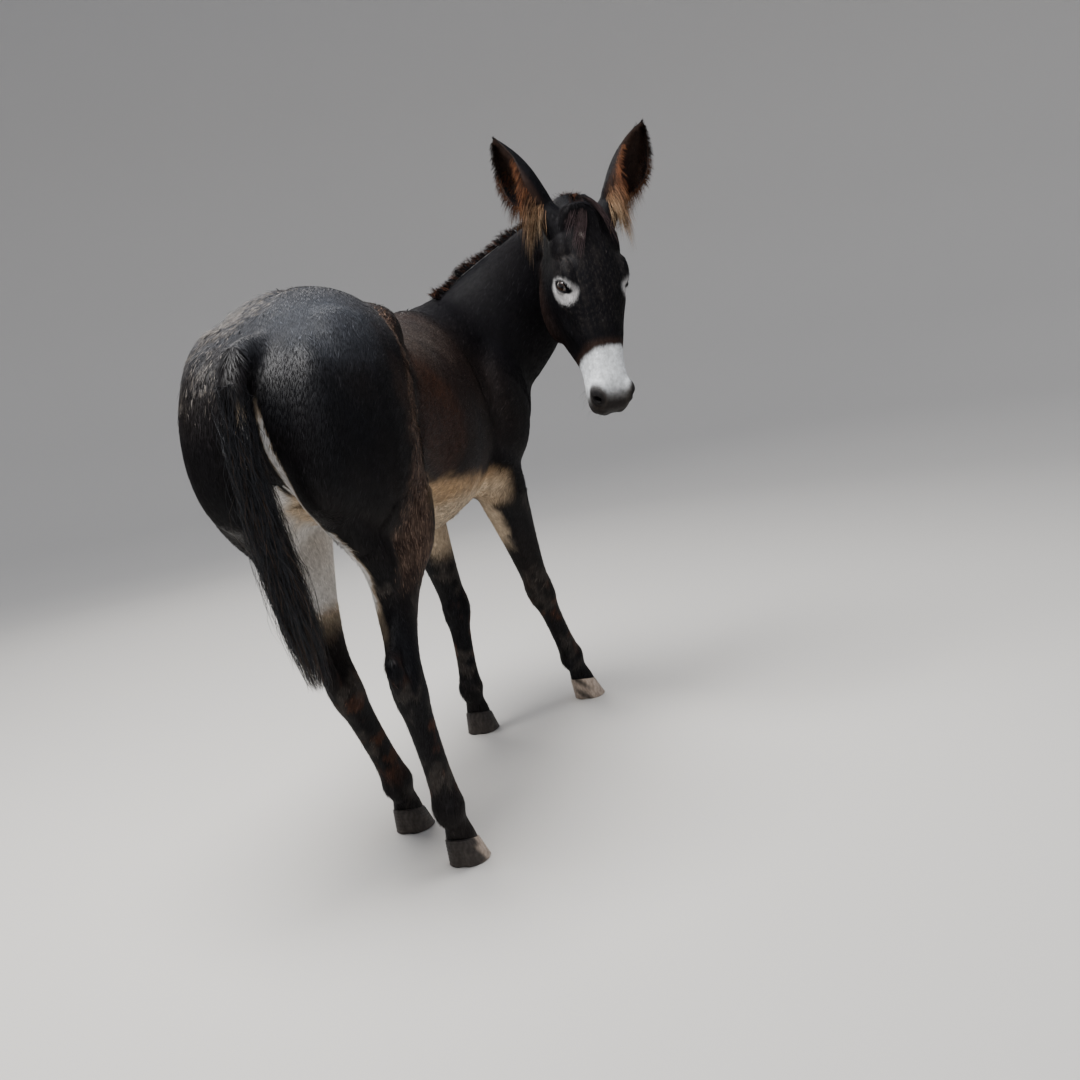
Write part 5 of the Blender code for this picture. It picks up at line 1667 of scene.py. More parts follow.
def make_tufts(name, points, normals, ways, lengths, widths, colours, lift, draw, bent=False):
    """Closed three-sided tapered tufts that leave the skin and lie along it."""
    count = len(points)
    turn = draw.normal(0, 0.17 if not bent else 0.35, count)
    side = np.cross(normals, ways)
    ways = unit(ways * np.cos(turn)[:, None] + side * np.sin(turn)[:, None])
    side = np.cross(normals, ways)
    half = (widths * 0.5)[:, None]
    thick = (widths * 0.32)[:, None]
    length = lengths[:, None]
    rise = lift[:, None]
    spots = ((0.0, 0.0, 0.9), (0.48, 0.72, 0.95)) if bent else ((0.0, 0.0, 1.0),)
    rings = []
    shades = []
    lean = ways * 0.30
    for part, up, wide in spots:
        middle = points + ways * length * part + normals * (length * rise * up - ROOT_SINK)
        rings += [middle + side * half * wide, middle - side * half * wide, middle + normals * thick * wide]
        shades += [normals + side * 0.35 - lean, normals - side * 0.35 - lean, normals - lean]
    curl = draw.normal(0, 0.12 if bent else 0.05, count)[:, None]
    rings.append(points + ways * length + normals * length * rise + side * length * curl)
    shades.append(normals)
    per = len(rings)
    verts = np.stack(rings, axis=1).reshape(-1, 3)
    vert_normals = unit(np.stack(shades, axis=1).reshape(-1, 3))
    faces = [(0, 1, 2)]
    for ring in range(len(spots) - 1):
        base = ring * 3
        for a, b in ((0, 1), (1, 2), (2, 0)):
            faces.append((base + a, base + 3 + a, base + 3 + b))
            faces.append((base + a, base + 3 + b, base + b))
    base = (len(spots) - 1) * 3
    for a, b in ((0, 1), (1, 2), (2, 0)):
        faces.append((base + a, per - 1, base + b))
    tris = (np.arange(count)[:, None, None] * per + np.array(faces)[None]).reshape(-1, 3)
    shade = np.repeat(colours, per, axis=0)
    place = np.tile(np.arange(per), count)
    # Painted shade and highlight: each tuft darker at its root, down in the coat's shade, and lighter at its
    # tip
    bright = np.where(place == per - 1, 1.18, np.where(place < 3, 0.88, 1.0))[:, None]
    return mesh_from_arrays(name, verts, tris, shade * bright, vert_normals, points, normals, per)


def coat_piece(skin, name, pick, per_area, seed):
    """Short tufts that lie flat over one part of the skin."""
    draw = np.random.default_rng(seed)
    points, normals, region = skin.plant(pick, per_area, draw)
    keep = clear_of_openings(points, region)
    points, normals, region = points[keep], normals[keep], region[keep]
    ways = lie_ways(points, normals, region)
    more = shaggy(points, normals, region)
    length, width = coat_size(points, region)
    count = len(points)
    lengths = length * more * draw.uniform(0.75, 1.25, count)
    widths = width * draw.uniform(0.7, 1.25, count) * np.sqrt(more)
    lift = 0.045 + 0.09 * np.maximum(more - 1, 0) + draw.uniform(-0.015, 0.035, count)
    colours = flecked(points, coat_colours(points, normals), draw) * draw.uniform(0.70, 1.32, count)[:, None]
    frost = (draw.random(count) < 0.04) & (colours.mean(1) < 0.05)
    colours[frost] = colours[frost] * 2.2 + 0.008
    return make_tufts("coat_" + name, points, normals, ways, lengths, widths, colours, lift, draw)


def scruff_weight(points, normals, region):
    """Where longer ruffled hair breaks the form, from 0 to 1."""
    weight = 0.30 * frosted(points) + 0.9 * thigh_edge(points)
    belly = 1 - step_up(0.74, 0.80, points[:, 2])
    span = hump(-0.36, -0.24, 0.34, 0.44, points[:, 0])
    weight += 0.9 * belly * span * (region == TORSO) * (normals[:, 2] < -0.2)
    spine = bell(points[:, 1], rump_shift(-0.3), 0.05) * (normals[:, 2] > 0.7)
    weight += 0.08 * spine * (region == TORSO)
    elbow = bell(points[:, 2], 0.76, 0.05) * (points[:, 0] > 0.33) * (points[:, 0] < 0.46)
    weight += 0.5 * elbow
    for index, (_, joints, names) in enumerate(LEGS):
        here = region == FIRST_LEG + index
        lower = up_from_hoof(points, joints, names)
        rear = step_up(0.1, 0.6, -normals[:, 0])
        weight += here * rear * (1.0 * bell(lower, 0.85, 0.28) + 0.5 * bell(lower, 2.05, 0.3))
        weight += here * 0.14
    local = in_head(points)
    jaw = step_up(0.14, 0.20, -local[:, 2]) * (1 - step_up(0.30, 0.42, local[:, 0])) * (region == FACE)
    return weight + 0.7 * jaw


def scruff_piece(skin, name, pick, seed):
    """Longer bent tufts over the ruffled places of one part."""
    draw = np.random.default_rng(seed)
    where = scruff_weight(skin.middles, skin.face_normals, skin.region) * pick
    points, normals, region = skin.plant(where, SCRUFF_DENSITY, draw)
    keep = clear_of_openings(points, region)
    points, normals, region = points[keep], normals[keep], region[keep]
    ways = lie_ways(points, normals, region)
    count = len(points)
    size = np.where(region >= FIRST_LEG, LEG_SCRUFF, np.where(region == FACE, FACE_SCRUFF, 1.0))
    lengths = SCRUFF_LENGTH * size * draw.uniform(0.55, 1.30, count)
    widths = SCRUFF_WIDTH * size * draw.uniform(0.6, 1.3, count)
    lift = draw.uniform(0.04, 0.24, count)
    colours = flecked(points, coat_colours(points, normals), draw) * draw.uniform(0.75, 1.4, count)[:, None]
    return make_tufts("scruff_" + name, points, normals, ways, lengths, widths, colours, lift, draw, True)


def clear_of_openings(points, region):
    """No tufts on the lid rims, in the eyes, nostrils, mouth or hooves."""
    local = in_head(points)
    keep = np.ones(len(points), dtype=bool)
    head = region == FACE
    for sign in (1, -1):
        keep &= ~(head & (eye_gap(local, sign) < EYE_RADIUS + LID_CLEAR))
        nostril = np.linalg.norm(local - np.array((0.568, sign * 0.054, -0.052)), axis=1)
        keep &= ~(head & (nostril < 0.019))
    mouth = (np.abs(local[:, 2] + 0.106) < 0.005) & (local[:, 0] > 0.50)
    keep &= ~(head & mouth)
    for joints in list(HIND.values()) + list(FORE.values()):
        crown = np.array(hoof_top(joints))
        low = (np.linalg.norm(points[:, :2] - crown[:2], axis=1) < 0.07) & (points[:, 2] < crown[2] - 0.001)
        keep &= ~low
    return keep


def make_strands(name, paths, widths, colours, root_normals):
    """Long hairs in clumps: closed tapered tubes through each row of points (count, rings, 3)."""
    sides = STRAND_SIDES
    count, rings = paths.shape[:2]
    along = np.gradient(paths, axis=1)
    along = along / np.maximum(np.linalg.norm(along, axis=2, keepdims=True), 1e-9)
    guide = np.repeat(root_normals[:, None, :], rings, axis=1)
    side = np.cross(along, guide)
    side = side / np.maximum(np.linalg.norm(side, axis=2, keepdims=True), 1e-9)
    out = np.cross(side, along)
    verts = []
    for step in range(sides):
        angle = 2 * math.pi * step / sides + 0.5
        verts.append(paths + (side * math.cos(angle) + out * 0.6 * math.sin(angle)) * widths[:, :, None] / 2)
    verts = np.stack(verts, axis=2)
    body = verts[:, :-1].reshape(count, -1, 3)
    tips = paths[:, -1:, :]
    per = (rings - 1) * sides + 1
    points = np.concatenate((body, tips), axis=1).reshape(-1, 3)
    faces = [(0, 1, 2)]
    for ring in range(rings - 2):
        base = ring * sides
        for a in range(sides):
            b = (a + 1) % sides
            faces.append((base + a, base + sides + a, base + sides + b))
            faces.append((base + a, base + sides + b, base + b))
    base = (rings - 2) * sides
    for a in range(sides):
        faces.append((base + a, per - 1, base + (a + 1) % sides))
    tris = (np.arange(count)[:, None, None] * per + np.array(faces)[None]).reshape(-1, 3)
    ring_colours = np.repeat(colours[:, :-1], sides, axis=1)
    shade = np.concatenate((ring_colours, colours[:, -1:]), axis=1).reshape(-1, 3)
    round_body = (verts[:, :-1] - paths[:, :-1, None, :]).reshape(count, -1, 3)
    round_all = np.concatenate((round_body, along[:, -1:, :] * 0.001), axis=1)
    soft = unit(round_all.reshape(-1, 3)) + 0.9 * np.repeat(root_normals, per, axis=0)
    return mesh_from_arrays(name, points, tris, shade, unit(soft), paths[:, 0], root_normals, per)


def fade(start, end, rings, count, draw, spread=0.25):
    """Colours down each strand, from its root's to its tip's."""
    t = np.linspace(0, 1, rings)[None, :, None]
    colours = np.array(start) * (1 - t) + np.array(end) * t
    return colours * draw.uniform(1 - spread, 1 + spread, (count, 1, 1))


def make_tail_hair():
    """Coarse hair that hangs from the dock, thin above, fullest below the middle, and ragged at the tip."""
    draw = np.random.default_rng(SEED + 41)
    count = TAIL_STRANDS
    rings = 6
    top = 0.47 * draw.uniform(0.0, 1.0, count) ** 0.60
    angle = draw.uniform(0, 2 * math.pi, count)
    long = draw.uniform(0.10, 0.30, count) * np.interp(top, [0.0, 0.08, 0.25, 0.47], [0.18, 0.50, 0.9, 1.0])
    end = np.minimum(top + long, 0.735)
    flesh = np.interp(top, *TAIL_FLESH)
    paths = np.zeros((count, rings, 3))
    spread = draw.uniform(0.3, 1.0, count) + 0.45 * (draw.random(count) < 0.05)
    drift = draw.normal(0, 0.45, count)
    wave = draw.normal(0, 0.009, (count, 2))
    phase = draw.uniform(0, 6.28, count)
    for ring in range(rings):
        t = ring / (rings - 1)
        drop = top + (end - top) * t
        axis = to_array([tail_axis(d) for d in drop])
        full = np.interp(drop, *TAIL_FULL)
        radius = flesh * (1 - t) * 0.9 + full * spread * min(1.0, t * 2.2)
        turn = angle + drift * t
        sway = np.sin(phase + 5.0 * t) * t
        paths[:, ring, 0] = axis[:, 0] + np.cos(turn) * radius * 0.85 + wave[:, 0] * sway
        paths[:, ring, 1] = axis[:, 1] + np.sin(turn) * radius + wave[:, 1] * sway
        paths[:, ring, 2] = axis[:, 2] + 0.004 * t * draw.normal(0, 1, count)
    widths = np.linspace(1.0, 0.35, rings)[None, :] * draw.uniform(0.0010, 0.0024, (count, 1))
    normals = np.stack((np.cos(angle), np.sin(angle), np.zeros(count)), axis=1)
    colours = fade(BLACK, TAIL_TIP, rings, count, draw, 0.45)
    brown = draw.random(count) < 0.14 * step_up(0.02, 0.20, top)
    colours[brown] = fade(BROWN_BLACK, EDGE_BROWN, rings, int(brown.sum()), draw, 0.3) * 0.5
    return make_strands("hair_tail", paths, widths, colours, normals)


def make_mane_hair():
    """A thin, rubbed mane that stands along the crest and leans both ways."""
    draw = np.random.default_rng(SEED + 42)
    line = crest_line(MANE_STEPS)[int(1.9 * MANE_STEPS):-int(0.5 * MANE_STEPS)]
    count = MANE_STRANDS
    rings = 6
    index = draw.integers(0, len(line), count)
    t_line = index / len(line)
    crest = to_array([line[i][0] for i in index])
    out = to_array([line[i][1] for i in index])
    across = to_array([line[i][2] for i in index])
    along = to_array([line[i][3] for i in index])
    tall = MANE_TALL * draw.uniform(0.45, 1.15, count) * (0.75 + 0.35 * np.sin(t_line * 17) ** 2)
    tall = tall * np.interp(t_line, [0, 0.1, 0.8, 1], [0.5, 1, 1, 0.8])
    lean = draw.normal(0.15, 0.35, count)
    back = draw.normal(-0.25, 0.25, count)
    start = crest + across * draw.normal(0, 0.005, count)[:, None] - out * 0.006
    paths = np.zeros((count, rings, 3))
    for ring in range(rings):
        t = ring / (rings - 1)
        paths[:, ring] = start + out * (tall * (t - 0.18 * t * t))[:, None] \
            + across * (tall * lean * t ** 1.6)[:, None] + along * (tall * back * t)[:, None]
    widths = np.linspace(1.0, 0.3, rings)[None, :] * draw.uniform(0.0014, 0.0028, (count, 1))
    colours = fade(BLACK, BROWN_BLACK, rings, count, draw, 0.4)
    pale = draw.random(count) < 0.15
    colours[pale] = fade(CHOCOLATE, RUST, rings, int(pale.sum()), draw, 0.3)
    return make_strands("hair_mane", paths, widths, colours, across)


def make_forelock():
    """A few long thin locks from the poll down the brow, the last one parted to the left."""
    draw = np.random.default_rng(SEED + 43)
    each = LOCK_STRANDS
    rings = 9
    count = each * len(FORELOCK_ENDS)
    lock = np.repeat(np.arange(len(FORELOCK_ENDS)), each)
    ends = np.array(FORELOCK_ENDS)[lock]
    loose = draw.normal(0, 1, (count, 2))
    reach = draw.uniform(0.60, 1.08, count)
    rise = 0.010 + 0.004 * draw.random(count) + 0.003 * (lock % 3)
    paths = np.zeros((count, rings, 3))
    for ring in range(rings):
        t = ring / (rings - 1)
        along = ends[:, 0] + (ends[:, 2] - ends[:, 0]) * t * reach + 0.0015 * loose[:, 0]
        aside = ends[:, 1] + (ends[:, 3] - ends[:, 1]) * t ** 1.3 + loose[:, 1] * (0.0014 + 0.0030 * t)
        aside = aside + 0.003 * np.sin(4.5 * t + lock)
        out = np.interp(along, *CROWN) + rise * math.sin(math.pi * min(1.0, t * 1.15)) - 2.0 * aside ** 2
        if ring == 0:
            out = out - LOCK_SINK
        local = np.stack((along * HEAD_LENGTH / TABLE_LENGTH, aside, out), axis=1)
        paths[:, ring] = local @ HEAD_TURN.T + np.array(POLL)
    widths = np.linspace(1.0, 0.35, rings)[None, :] * draw.uniform(0.0010, 0.0018, (count, 1))
    # Painted sheen: each lock fades from brown-black to mauve towards its tip
    colours = fade(BROWN_BLACK, MAUVE_SHEEN, rings, count, draw, 0.35)
    normals = np.tile(HEAD_TURN[:, 2], (count, 1))
    return make_strands("hair_forelock", paths, widths, colours, normals)


def ear_hair_ends(t, chance):
    """Root and tip colours: blond at the foot, rust along the rims, brown-black near the tip."""
    low = max(0.0, 1 - t * 4.0)
    start = np.array(CHOCOLATE) * (1 - low) + np.array(ORANGE) * 0.6 * low
    end = np.array(RUST) * 1.6 * (1 - low) + np.array(BLOND) * low
    if t > 0.66 or chance < 0.35:
        start = np.array(BROWN_BLACK)
        end = np.array(CHOCOLATE)
    elif chance < 0.6:
        end = end * 0.5 + np.array(ORANGE) * 0.5
    return start, end


def make_ear_hair(hand):
    """Long rusty hair from both rims and out of the cup, blond where it hangs at the foot."""
    draw = np.random.default_rng(SEED + (44 if hand == "left" else 45))
    place = np.array(ear_frame(hand))
    length = EAR_LENGTH - EAR_STUMP
    count = EAR_STRANDS
    rings = 5
    paths = np.zeros((count, rings, 3))
    colours = np.zeros((count, rings, 3))
    normals = np.zeros((count, 3))
    widths = np.zeros((count, rings))
    down = place[:3, :3].T @ np.array((0.0, 0.0, -1.0))
    for number in range(count):
        t = draw.random() ** 1.35 * 0.97
        rim = 1 if draw.random() < 0.5 else -1
        radius, roll, shell = ear_section(t)[1:]
        inside = draw.random() < 0.40
        angle = rim * roll * (draw.uniform(0.45, 0.95) if inside else draw.uniform(0.92, 0.995))
        root = np.array(ear_point(hand, t, angle, radius - shell * (0.9 if inside else 0.5), length))
        onward = np.array((math.sin(abs(angle)), rim * math.cos(angle), 0.0))
        out = np.array((-math.cos(angle), math.sin(angle), 0.0))
        low = max(0.0, 1 - t * 2.2)
        reach = (0.013 + 0.016 * max(0.0, 1 - t) + 0.050 * low ** 1.5) * draw.uniform(0.55, 1.25)
        if inside:
            way = np.array((0.75, -0.25 * rim, -0.10)) + draw.normal(0, 0.20, 3)
            reach *= 0.6
        else:
            way = onward * 0.65 + out * draw.normal(0.12, 0.20)
            way = way + np.array((0.25, 0, 0.10)) + draw.normal(0, 0.14, 3)
        way /= np.linalg.norm(way)
        hang = down * (0.55 + 0.75 * low)
        for ring in range(rings):
            s = ring / (rings - 1)
            onto = way * reach * (s - 0.04) * (1 - 0.35 * low * s)
            paths[number, ring] = root + onto + hang * reach * s * s
        start, end = ear_hair_ends(t, draw.random())
        mix = np.linspace(0, 1, rings)[:, None]
        colours[number] = (start * (1 - mix) + end * mix) * draw.uniform(0.6, 1.25)
        widths[number] = np.linspace(1.0, 0.3, rings) * draw.uniform(0.0008, 0.0017)
        normals[number] = out
    paths = paths @ place[:3, :3].T + place[:3, 3]
    normals = normals @ place[:3, :3].T
    return make_strands("hair_ear_" + hand, paths, widths, colours, unit(normals))


def make_lashes():
    """Upper lashes, and whiskers on the chin and round the nose."""
    draw = np.random.default_rng(SEED + 46)
    paths = []
    normals = []
    widths = []
    rings = 5
    for sign in (1, -1):
        look = eye_outward(sign)
        centre = eye_centre(sign)
        slit, rise = lid_axes(sign)
        for step in range(LASHES):
            angle = math.pi * (0.08 + 0.84 * (step + draw.uniform(-0.3, 0.3)) / LASHES)
            across = math.cos(angle)
            tall = math.sin(angle)
            start = math.hypot(SLIT_LONG * across, SLIT_ABOVE * tall * abs(tall) ** 0.3)
            swing = (slit * across * SLIT_LONG + rise * SLIT_ABOVE * tall).normalized()
            root = centre + (look * math.cos(start) + swing * math.sin(start)) * (EYE_RADIUS + 0.0028)
            way = (look * 0.8 + rise * 0.10 + slit * across * 0.5 + Vector((0, 0, -0.55))).normalized()
            reach = LASH_LENGTH * draw.uniform(0.6, 1.1)
            rows = [root + way * reach * s + rise * 0.25 * reach * s * s for s in np.linspace(0, 1, rings)]
            paths.append([tuple(p) for p in rows])
            normals.append(tuple(look))
            widths.append(LASH_WIDTH)
    for _ in range(WHISKERS):
        along = draw.uniform(0.52, 0.595)
        aside = draw.uniform(-0.045, 0.045)
        root = on_head(along, aside, -0.145 if draw.random() < 0.5 else -0.120)
        way = HEAD.to_3x3() @ Vector((0.5, aside * 14, -0.8)) + Vector(draw.normal(0, 0.2, 3))
        way.normalize()
        reach = draw.uniform(0.012, 0.032)
        paths.append([tuple(root + way * (reach * s - 0.004) + Vector((0, 0, -0.2)) * reach * s * s)
                      for s in np.linspace(0, 1, rings)])
        normals.append(tuple(HEAD.to_3x3() @ Vector((0, 1, 0.3))))
        widths.append(WHISKER_WIDTH)
    paths = np.array(paths)
    count = len(paths)
    widths = np.array(widths)[:, None] * np.linspace(1.0, 0.35, rings)[None, :]
    colours = fade(BLACK, BROWN_BLACK, rings, count, draw)
    return make_strands("hair_face", paths, widths, colours, unit(np.array(normals)))


def horn_colour(angle, level, forward, pale):
    """Streaked horn: pale over the toe, dusty near the ground."""
    toe_start = 0.75 - 2.1 * pale
    ragged = forward + 0.14 * math.sin(5 * angle + 9 * level)
    toe = step_up(toe_start, toe_start + 0.5, np.array([ragged]))[0]
    streak = 0.5 + 0.5 * math.sin(angle * 23 + 3 * math.sin(level * 7 + angle * 3))
    horn = np.array(HORN_DARK) * (1 + 0.8 * streak)
    light = np.array(HORN_PALE) * (0.75 + 0.35 * streak)
    dust = 0.18 * (1 - level)
    mix = toe * min(1.0, 0.35 + pale)
    colour = horn * (1 - mix) + light * mix
    return colour * (1 - dust) + np.array(DUSTY) * dust


def fine_hoof(name, joints, pale):
    """Horn with growth rings, a sloping toe, an upright heel and a worn edge."""
    sole = Vector(joints["hoof"])
    crown = hoof_top(joints)
    sides = 72
    levels = [0.0, 0.015] + [0.03 + 0.94 * step / 26 for step in range(27)] + [0.985, 1.0]
    rings = []
    shades = []
    for level in levels:
        inset = HOOF_INSETS.get(level, 0.0)
        groove = 0.0005 * math.sin(level * 46) + 0.0003 * math.sin(level * 91)
        ring = []
        for step in range(sides):
            angle = 2 * math.pi * step / sides
            c, s = squared(angle, 2.3)
            taper = 1 + (HOOF_TAPER - 1) * level
            heel = 0.88 + 0.10 * level if c < 0 else 1.0
            cleft = 0.006 * math.exp(-((angle - math.pi) / 0.22) ** 2) * (1 - level)
            x = c * (HOOF_HALF_LENGTH * taper - inset + groove) * heel + cleft
            y = s * (HOOF_HALF_WIDTH * taper - inset + groove) * (1 - 0.10 * max(0.0, -c))
            middle = sole.lerp(crown, level)
            lift = -(CORONET_WAY.x * x) / CORONET_WAY.z * level
            ring.append(Vector((middle.x + x, middle.y + y, middle.z + lift)))
            shades.append(horn_colour(angle, level, c, pale))
        rings.append(ring)
    bm = bmesh.new()
    bridge_rings(bm, rings)
    thing = object_from(name, bm)
    add_colours(thing.data, np.array(shades))
    return thing


def eye_piece(hand, sign):
    """The wet ball of the eye, dark brown round a wide level pupil."""
    thing = eye_ball("eyeball_" + hand, sign, EYE_RADIUS - 0.0002, 96)
    points = mesh_points(thing.data)
    look = np.array(eye_outward(sign))
    centre = np.array(eye_centre(sign))
    slit, rise = (np.array(way) for way in lid_axes(sign))
    away = (points - centre) / EYE_RADIUS
    across = away @ slit
    tall = away @ rise
    front = away @ look > 0
    iris = np.hypot(across / 0.80, tall / 0.66)
    pupil = np.hypot(across / 0.52, tall / 0.26)
    colours = np.tile(np.array(EYE_WHITE), (len(points), 1))
    colours = blend_to(colours, IRIS, front * (1 - step_up(0.92, 1.02, iris)))
    colours = blend_to(colours, PUPIL, front * (1 - step_up(0.85, 1.1, pupil)))
    add_colours(thing.data, colours)
    return thing


def node(tree, kind, **values):
    made = tree.nodes.new(kind)
    for key, value in values.items():
        setattr(made, key, value)
    return made


def add_bump(tree, place, shader, bump):
    """The grain of fur or horn."""
    fur = node(tree, "ShaderNodeTexNoise")
    fur.inputs["Scale"].default_value = FUR_GRAIN
    fur.inputs["Detail"].default_value = 3.0
    rise = node(tree, "ShaderNodeBump")
    rise.inputs["Strength"].default_value = bump
    rise.inputs["Distance"].default_value = 0.002
    tree.links.new(place.outputs["Object"], fur.inputs["Vector"])
    tree.links.new(fur.outputs["Fac"], rise.inputs["Height"])
    tree.links.new(rise.outputs["Normal"], shader.inputs["Normal"])


def coat_material(name, roughness, shine, bump, scale):
    """Hair or skin: markings from the point colours, broken up by noise, with a soft shine."""
    material = bpy.data.materials.new(name)
    material.use_nodes = True
    tree = material.node_tree
    shader = tree.nodes["Principled BSDF"]
    colour = node(tree, "ShaderNodeVertexColor", layer_name="Coat")
    place = node(tree, "ShaderNodeTexCoord")
    noise = node(tree, "ShaderNodeTexNoise")
    noise.inputs["Scale"].default_value = scale
    noise.inputs["Detail"].default_value = 4.0
    ramp = node(tree, "ShaderNodeMapRange")
    ramp.inputs["From Min"].default_value = 0.3
    ramp.inputs["From Max"].default_value = 0.7
    ramp.inputs["To Min"].default_value = 0.72
    ramp.inputs["To Max"].default_value = 1.28
    mix = node(tree, "ShaderNodeVectorMath", operation="SCALE")
    tree.links.new(place.outputs["Object"], noise.inputs["Vector"])
    tree.links.new(noise.outputs["Fac"], ramp.inputs["Value"])
    tree.links.new(colour.outputs["Color"], mix.inputs[0])
    tree.links.new(ramp.outputs["Result"], mix.inputs["Scale"])
    tree.links.new(mix.outputs["Vector"], shader.inputs["Base Color"])
    shader.inputs["Roughness"].default_value = roughness
    shader.inputs["Specular IOR Level"].default_value = shine
    if bump > 0:
        add_bump(tree, place, shader, bump)
    return material


def eye_material():
    material = bpy.data.materials.new("eye_wet")
    material.use_nodes = True
    tree = material.node_tree
    shader = tree.nodes["Principled BSDF"]
    colour = node(tree, "ShaderNodeVertexColor", layer_name="Coat")
    tree.links.new(colour.outputs["Color"], shader.inputs["Base Color"])
    shader.inputs["Roughness"].default_value = 0.12
    shader.inputs["Coat Weight"].default_value = 1.0
    shader.inputs["Coat Roughness"].default_value = 0.03
    return material


def settle(thing, material):
    """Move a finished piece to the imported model's place and hand it to the frame."""
    thing.data.transform(Matrix.Translation(SHIFT))
    thing.data.materials.clear()
    thing.data.materials.append(material)
    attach(thing, "root")


def add_light(name, place, target, size, power, colour):
    data = bpy.data.lights.new(name, "AREA")
    data.energy = power
    data.color = colour
    data.size = size
    lamp = bpy.data.objects.new(name, data)
    bpy.context.scene.collection.objects.link(lamp)
    lamp.location = place
    lamp.rotation_mode = "QUATERNION"
    lamp.rotation_quaternion = (Vector(target) - Vector(place)).to_track_quat("-Z", "Y")


def make_camera():
    pitch, roll, yaw = (math.radians(v) for v in (CAMERA_PITCH, CAMERA_ROLL, CAMERA_YAW))
    level = Vector((-math.sin(yaw), math.cos(yaw), 0))
    beside = Vector((math.cos(yaw), math.sin(yaw), 0))
    above = Vector((0, 0, 1))
    ahead = level * math.cos(pitch) - above * math.sin(pitch)
    up = above * math.cos(pitch) + level * math.sin(pitch)
    right = beside * math.cos(roll) + up * math.sin(roll)
    top = up * math.cos(roll) - beside * math.sin(roll)
    data = bpy.data.cameras.new("camera")
    data.lens = CAMERA_LENS
    data.sensor_width = 36.0
    camera = bpy.data.objects.new("camera", data)
    bpy.context.scene.collection.objects.link(camera)
    turn = Matrix((right, top, -ahead)).transposed().to_4x4()
    camera.matrix_world = Matrix.Translation(CAMERA_PLACE + SHIFT) @ turn
    bpy.context.scene.camera = camera


def make_stage():
    """A plain pale floor and soft studio light."""
    bm = bmesh.new()
    rings = []
    for out, up in SWEEP:
        ring = []
        for step in range(96):
            angle = 2 * math.pi * step / 96
            ring.append(Vector((out * math.cos(angle), out * math.sin(angle), up)))
        rings.append(ring)
    bridge_rings(bm, rings)
    lid = [face for face in bm.faces if all(vert.co.z > SWEEP[-1][1] - 0.01 for vert in face.verts)]
    bmesh.ops.delete(bm, geom=lid, context="FACES")
    floor = object_from("floor", bm)
    floor.data.shade_smooth()
    material = bpy.data.materials.new("floor")
    material.use_nodes = True
    shader = material.node_tree.nodes["Principled BSDF"]
    shader.inputs["Base Color"].default_value = FLOOR_COLOUR
    shader.inputs["Roughness"].default_value = 0.9
    floor.data.materials.append(material)
    world = bpy.data.worlds.new("soft")
    world.use_nodes = True
    sky = world.node_tree.nodes["Background"]
    sky.inputs["Color"].default_value = SKY_COLOUR
    sky.inputs["Strength"].default_value = SKY_STRENGTH
    bpy.context.scene.world = world
    for light in LIGHTS:
        add_light(*light)


def dress_skin(body, skin):
    """Markings and the bake map of the skin: each part and side in a tile of its own."""
    # The skin takes the markings at 0.8 of their brightness: painted shade under the coat
    add_colours(body.data, coat_colours(skin.points, skin.normals) * 0.8)
    axis = np.argmax(np.abs(skin.face_normals), axis=1)
    rows = np.arange(len(axis))
    tile = skin.region * 6 + axis * 2 + (skin.face_normals[rows, axis] > 0)
    other = np.array(((1, 2), (0, 2), (0, 1)))[axis]
    spots = np.zeros((len(axis), 3, 2))
    for region in range(len(REGIONS)):
        here = skin.region == region
        low = skin.middles[here].min(0) - 0.01
        size = (skin.middles[here].max(0) + 0.01 - low).max()
        corners = (skin.points[skin.tris[here]] - low) / size
        for corner in range(3):
            part = corners[:, corner]
            spots[here, corner, 0] = part[np.arange(len(part)), other[here, 0]]
            spots[here, corner, 1] = part[np.arange(len(part)), other[here, 1]]
    place = np.stack((tile % 8, tile // 8), axis=1)[:, None, :]
    spots = (np.clip(spots, 0, 1) * 0.94 + 0.03 + place) / 8
    layer = body.data.uv_layers.new(name="OFBake")
    layer.data.foreach_set("uv", spots.astype(np.float32).ravel())


def halves(skin):
    """The triangles left and right of the spine."""
    left = skin.middles[:, 1] > rump_shift(-0.2)
    return (("left", left), ("right", ~left))


def coat_jobs(skin):
    """Name, pick, kind and slot of each piece of coat, none over the triangles that a piece may have."""
    region = skin.region
    behind = skin.middles[:, 0] < LOIN_START
    ahead = skin.middles[:, 0] >= CHEST_START
    jobs = []
    for hand, half in halves(skin):
        torso = (region == TORSO) & half
        jobs.append(("croup_" + hand, torso & behind, "torso", "coat_torso"))
        jobs.append(("loin_" + hand, torso & ~behind & ~ahead, "torso", "coat_torso"))
        jobs.append(("chest_" + hand, torso & ahead, "torso", "coat_torso"))
    jobs.append(("neck", region == NECK, "neck", "coat_neck"))
    jobs.append(("head", region == FACE, "head", "coat_head"))
    jobs.append(("tail", region == TAIL, "tail", "coat_tail"))
    for index, leg in enumerate(LEGS):
        jobs.append((leg[0], region == FIRST_LEG + index, "leg", "coat_leg"))
    for index, hand in enumerate(("left", "right")):
        jobs.append(("ear_" + hand, region == FIRST_EAR + index, "ear", "coat_ear"))
    return jobs


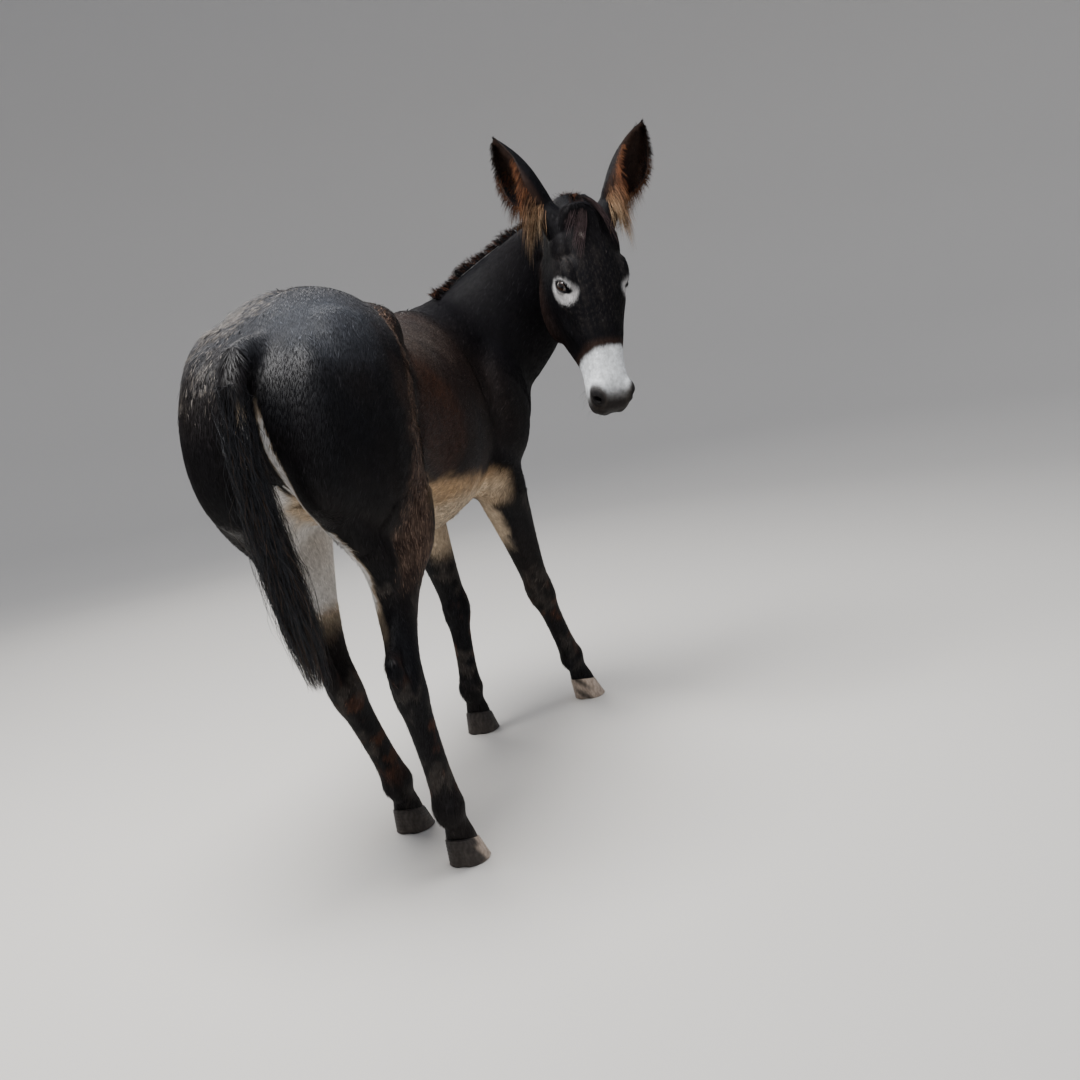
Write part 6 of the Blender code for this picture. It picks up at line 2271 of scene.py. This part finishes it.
def grow_coat(skin, hair, dull):
    """Every piece of hair, settled on the model."""
    pieces = []
    for number, (name, pick, kind, slot) in enumerate(coat_jobs(skin)):
        piece = coat_piece(skin, name, pick, COAT[kind][2], SEED + 100 + number)
        pieces.append((piece, slot))
    for number, (hand, half) in enumerate(halves(skin)):
        body = half & (skin.region != FACE) & (skin.region < FIRST_EAR) & (skin.region != TAIL)
        pieces.append((scruff_piece(skin, hand, body, SEED + 140 + number), "coat_torso"))
    pieces.append((scruff_piece(skin, "head", skin.region == FACE, SEED + 150), "coat_head"))
    pieces.append((make_tail_hair(), "coat_tail"))
    pieces.append((make_mane_hair(), "coat_neck"))
    pieces.append((make_forelock(), "coat_head"))
    pieces.append((make_lashes(), "coat_head"))
    for hand in ("left", "right"):
        pieces.append((make_ear_hair(hand), "coat_ear"))
    for piece, slot in pieces:
        settle(piece, dull if slot in DULL_SLOTS else hair)


def place_hooves(horn):
    for end, joints in (("hind", HIND), ("fore", FORE)):
        for hand in ("left", "right"):
            name = "hoof_" + end + "_" + hand
            piece = fine_hoof(name + "_horn", joints[hand], HOOF_PALE[name])
            piece.data.shade_smooth()
            piece.data.set_sharp_from_angle(angle=math.radians(45))
            settle(piece, horn)
            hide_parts(name)


def place_eyes(wet):
    for hand, sign in HANDS:
        eye = eye_piece(hand, sign)
        eye.data.shade_smooth()
        settle(eye, wet)
        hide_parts("eye_" + hand)


def main():
    make_camera()
    make_stage()
    body = make_skin()
    skin = Skin(body.data)
    dress_skin(body, skin)
    hair = coat_material("hair_coat", 0.47, 0.15, 0.0, 60.0)
    grow_coat(skin, hair, coat_material("hair_dull", 0.6, 0.05, 0.0, 60.0))
    body.data.shade_smooth()
    settle(body, coat_material("skin_coat", 0.55, 0.08, 0.6, 90.0))
    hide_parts("head", "neck", "torso", "tail", "ear_left", "ear_right",
                "leg_fore_left", "leg_fore_right", "leg_hind_left", "leg_hind_right")
    place_hooves(coat_material("horn", 0.55, 0.15, 0.25, 60.0))
    place_eyes(eye_material())


main()
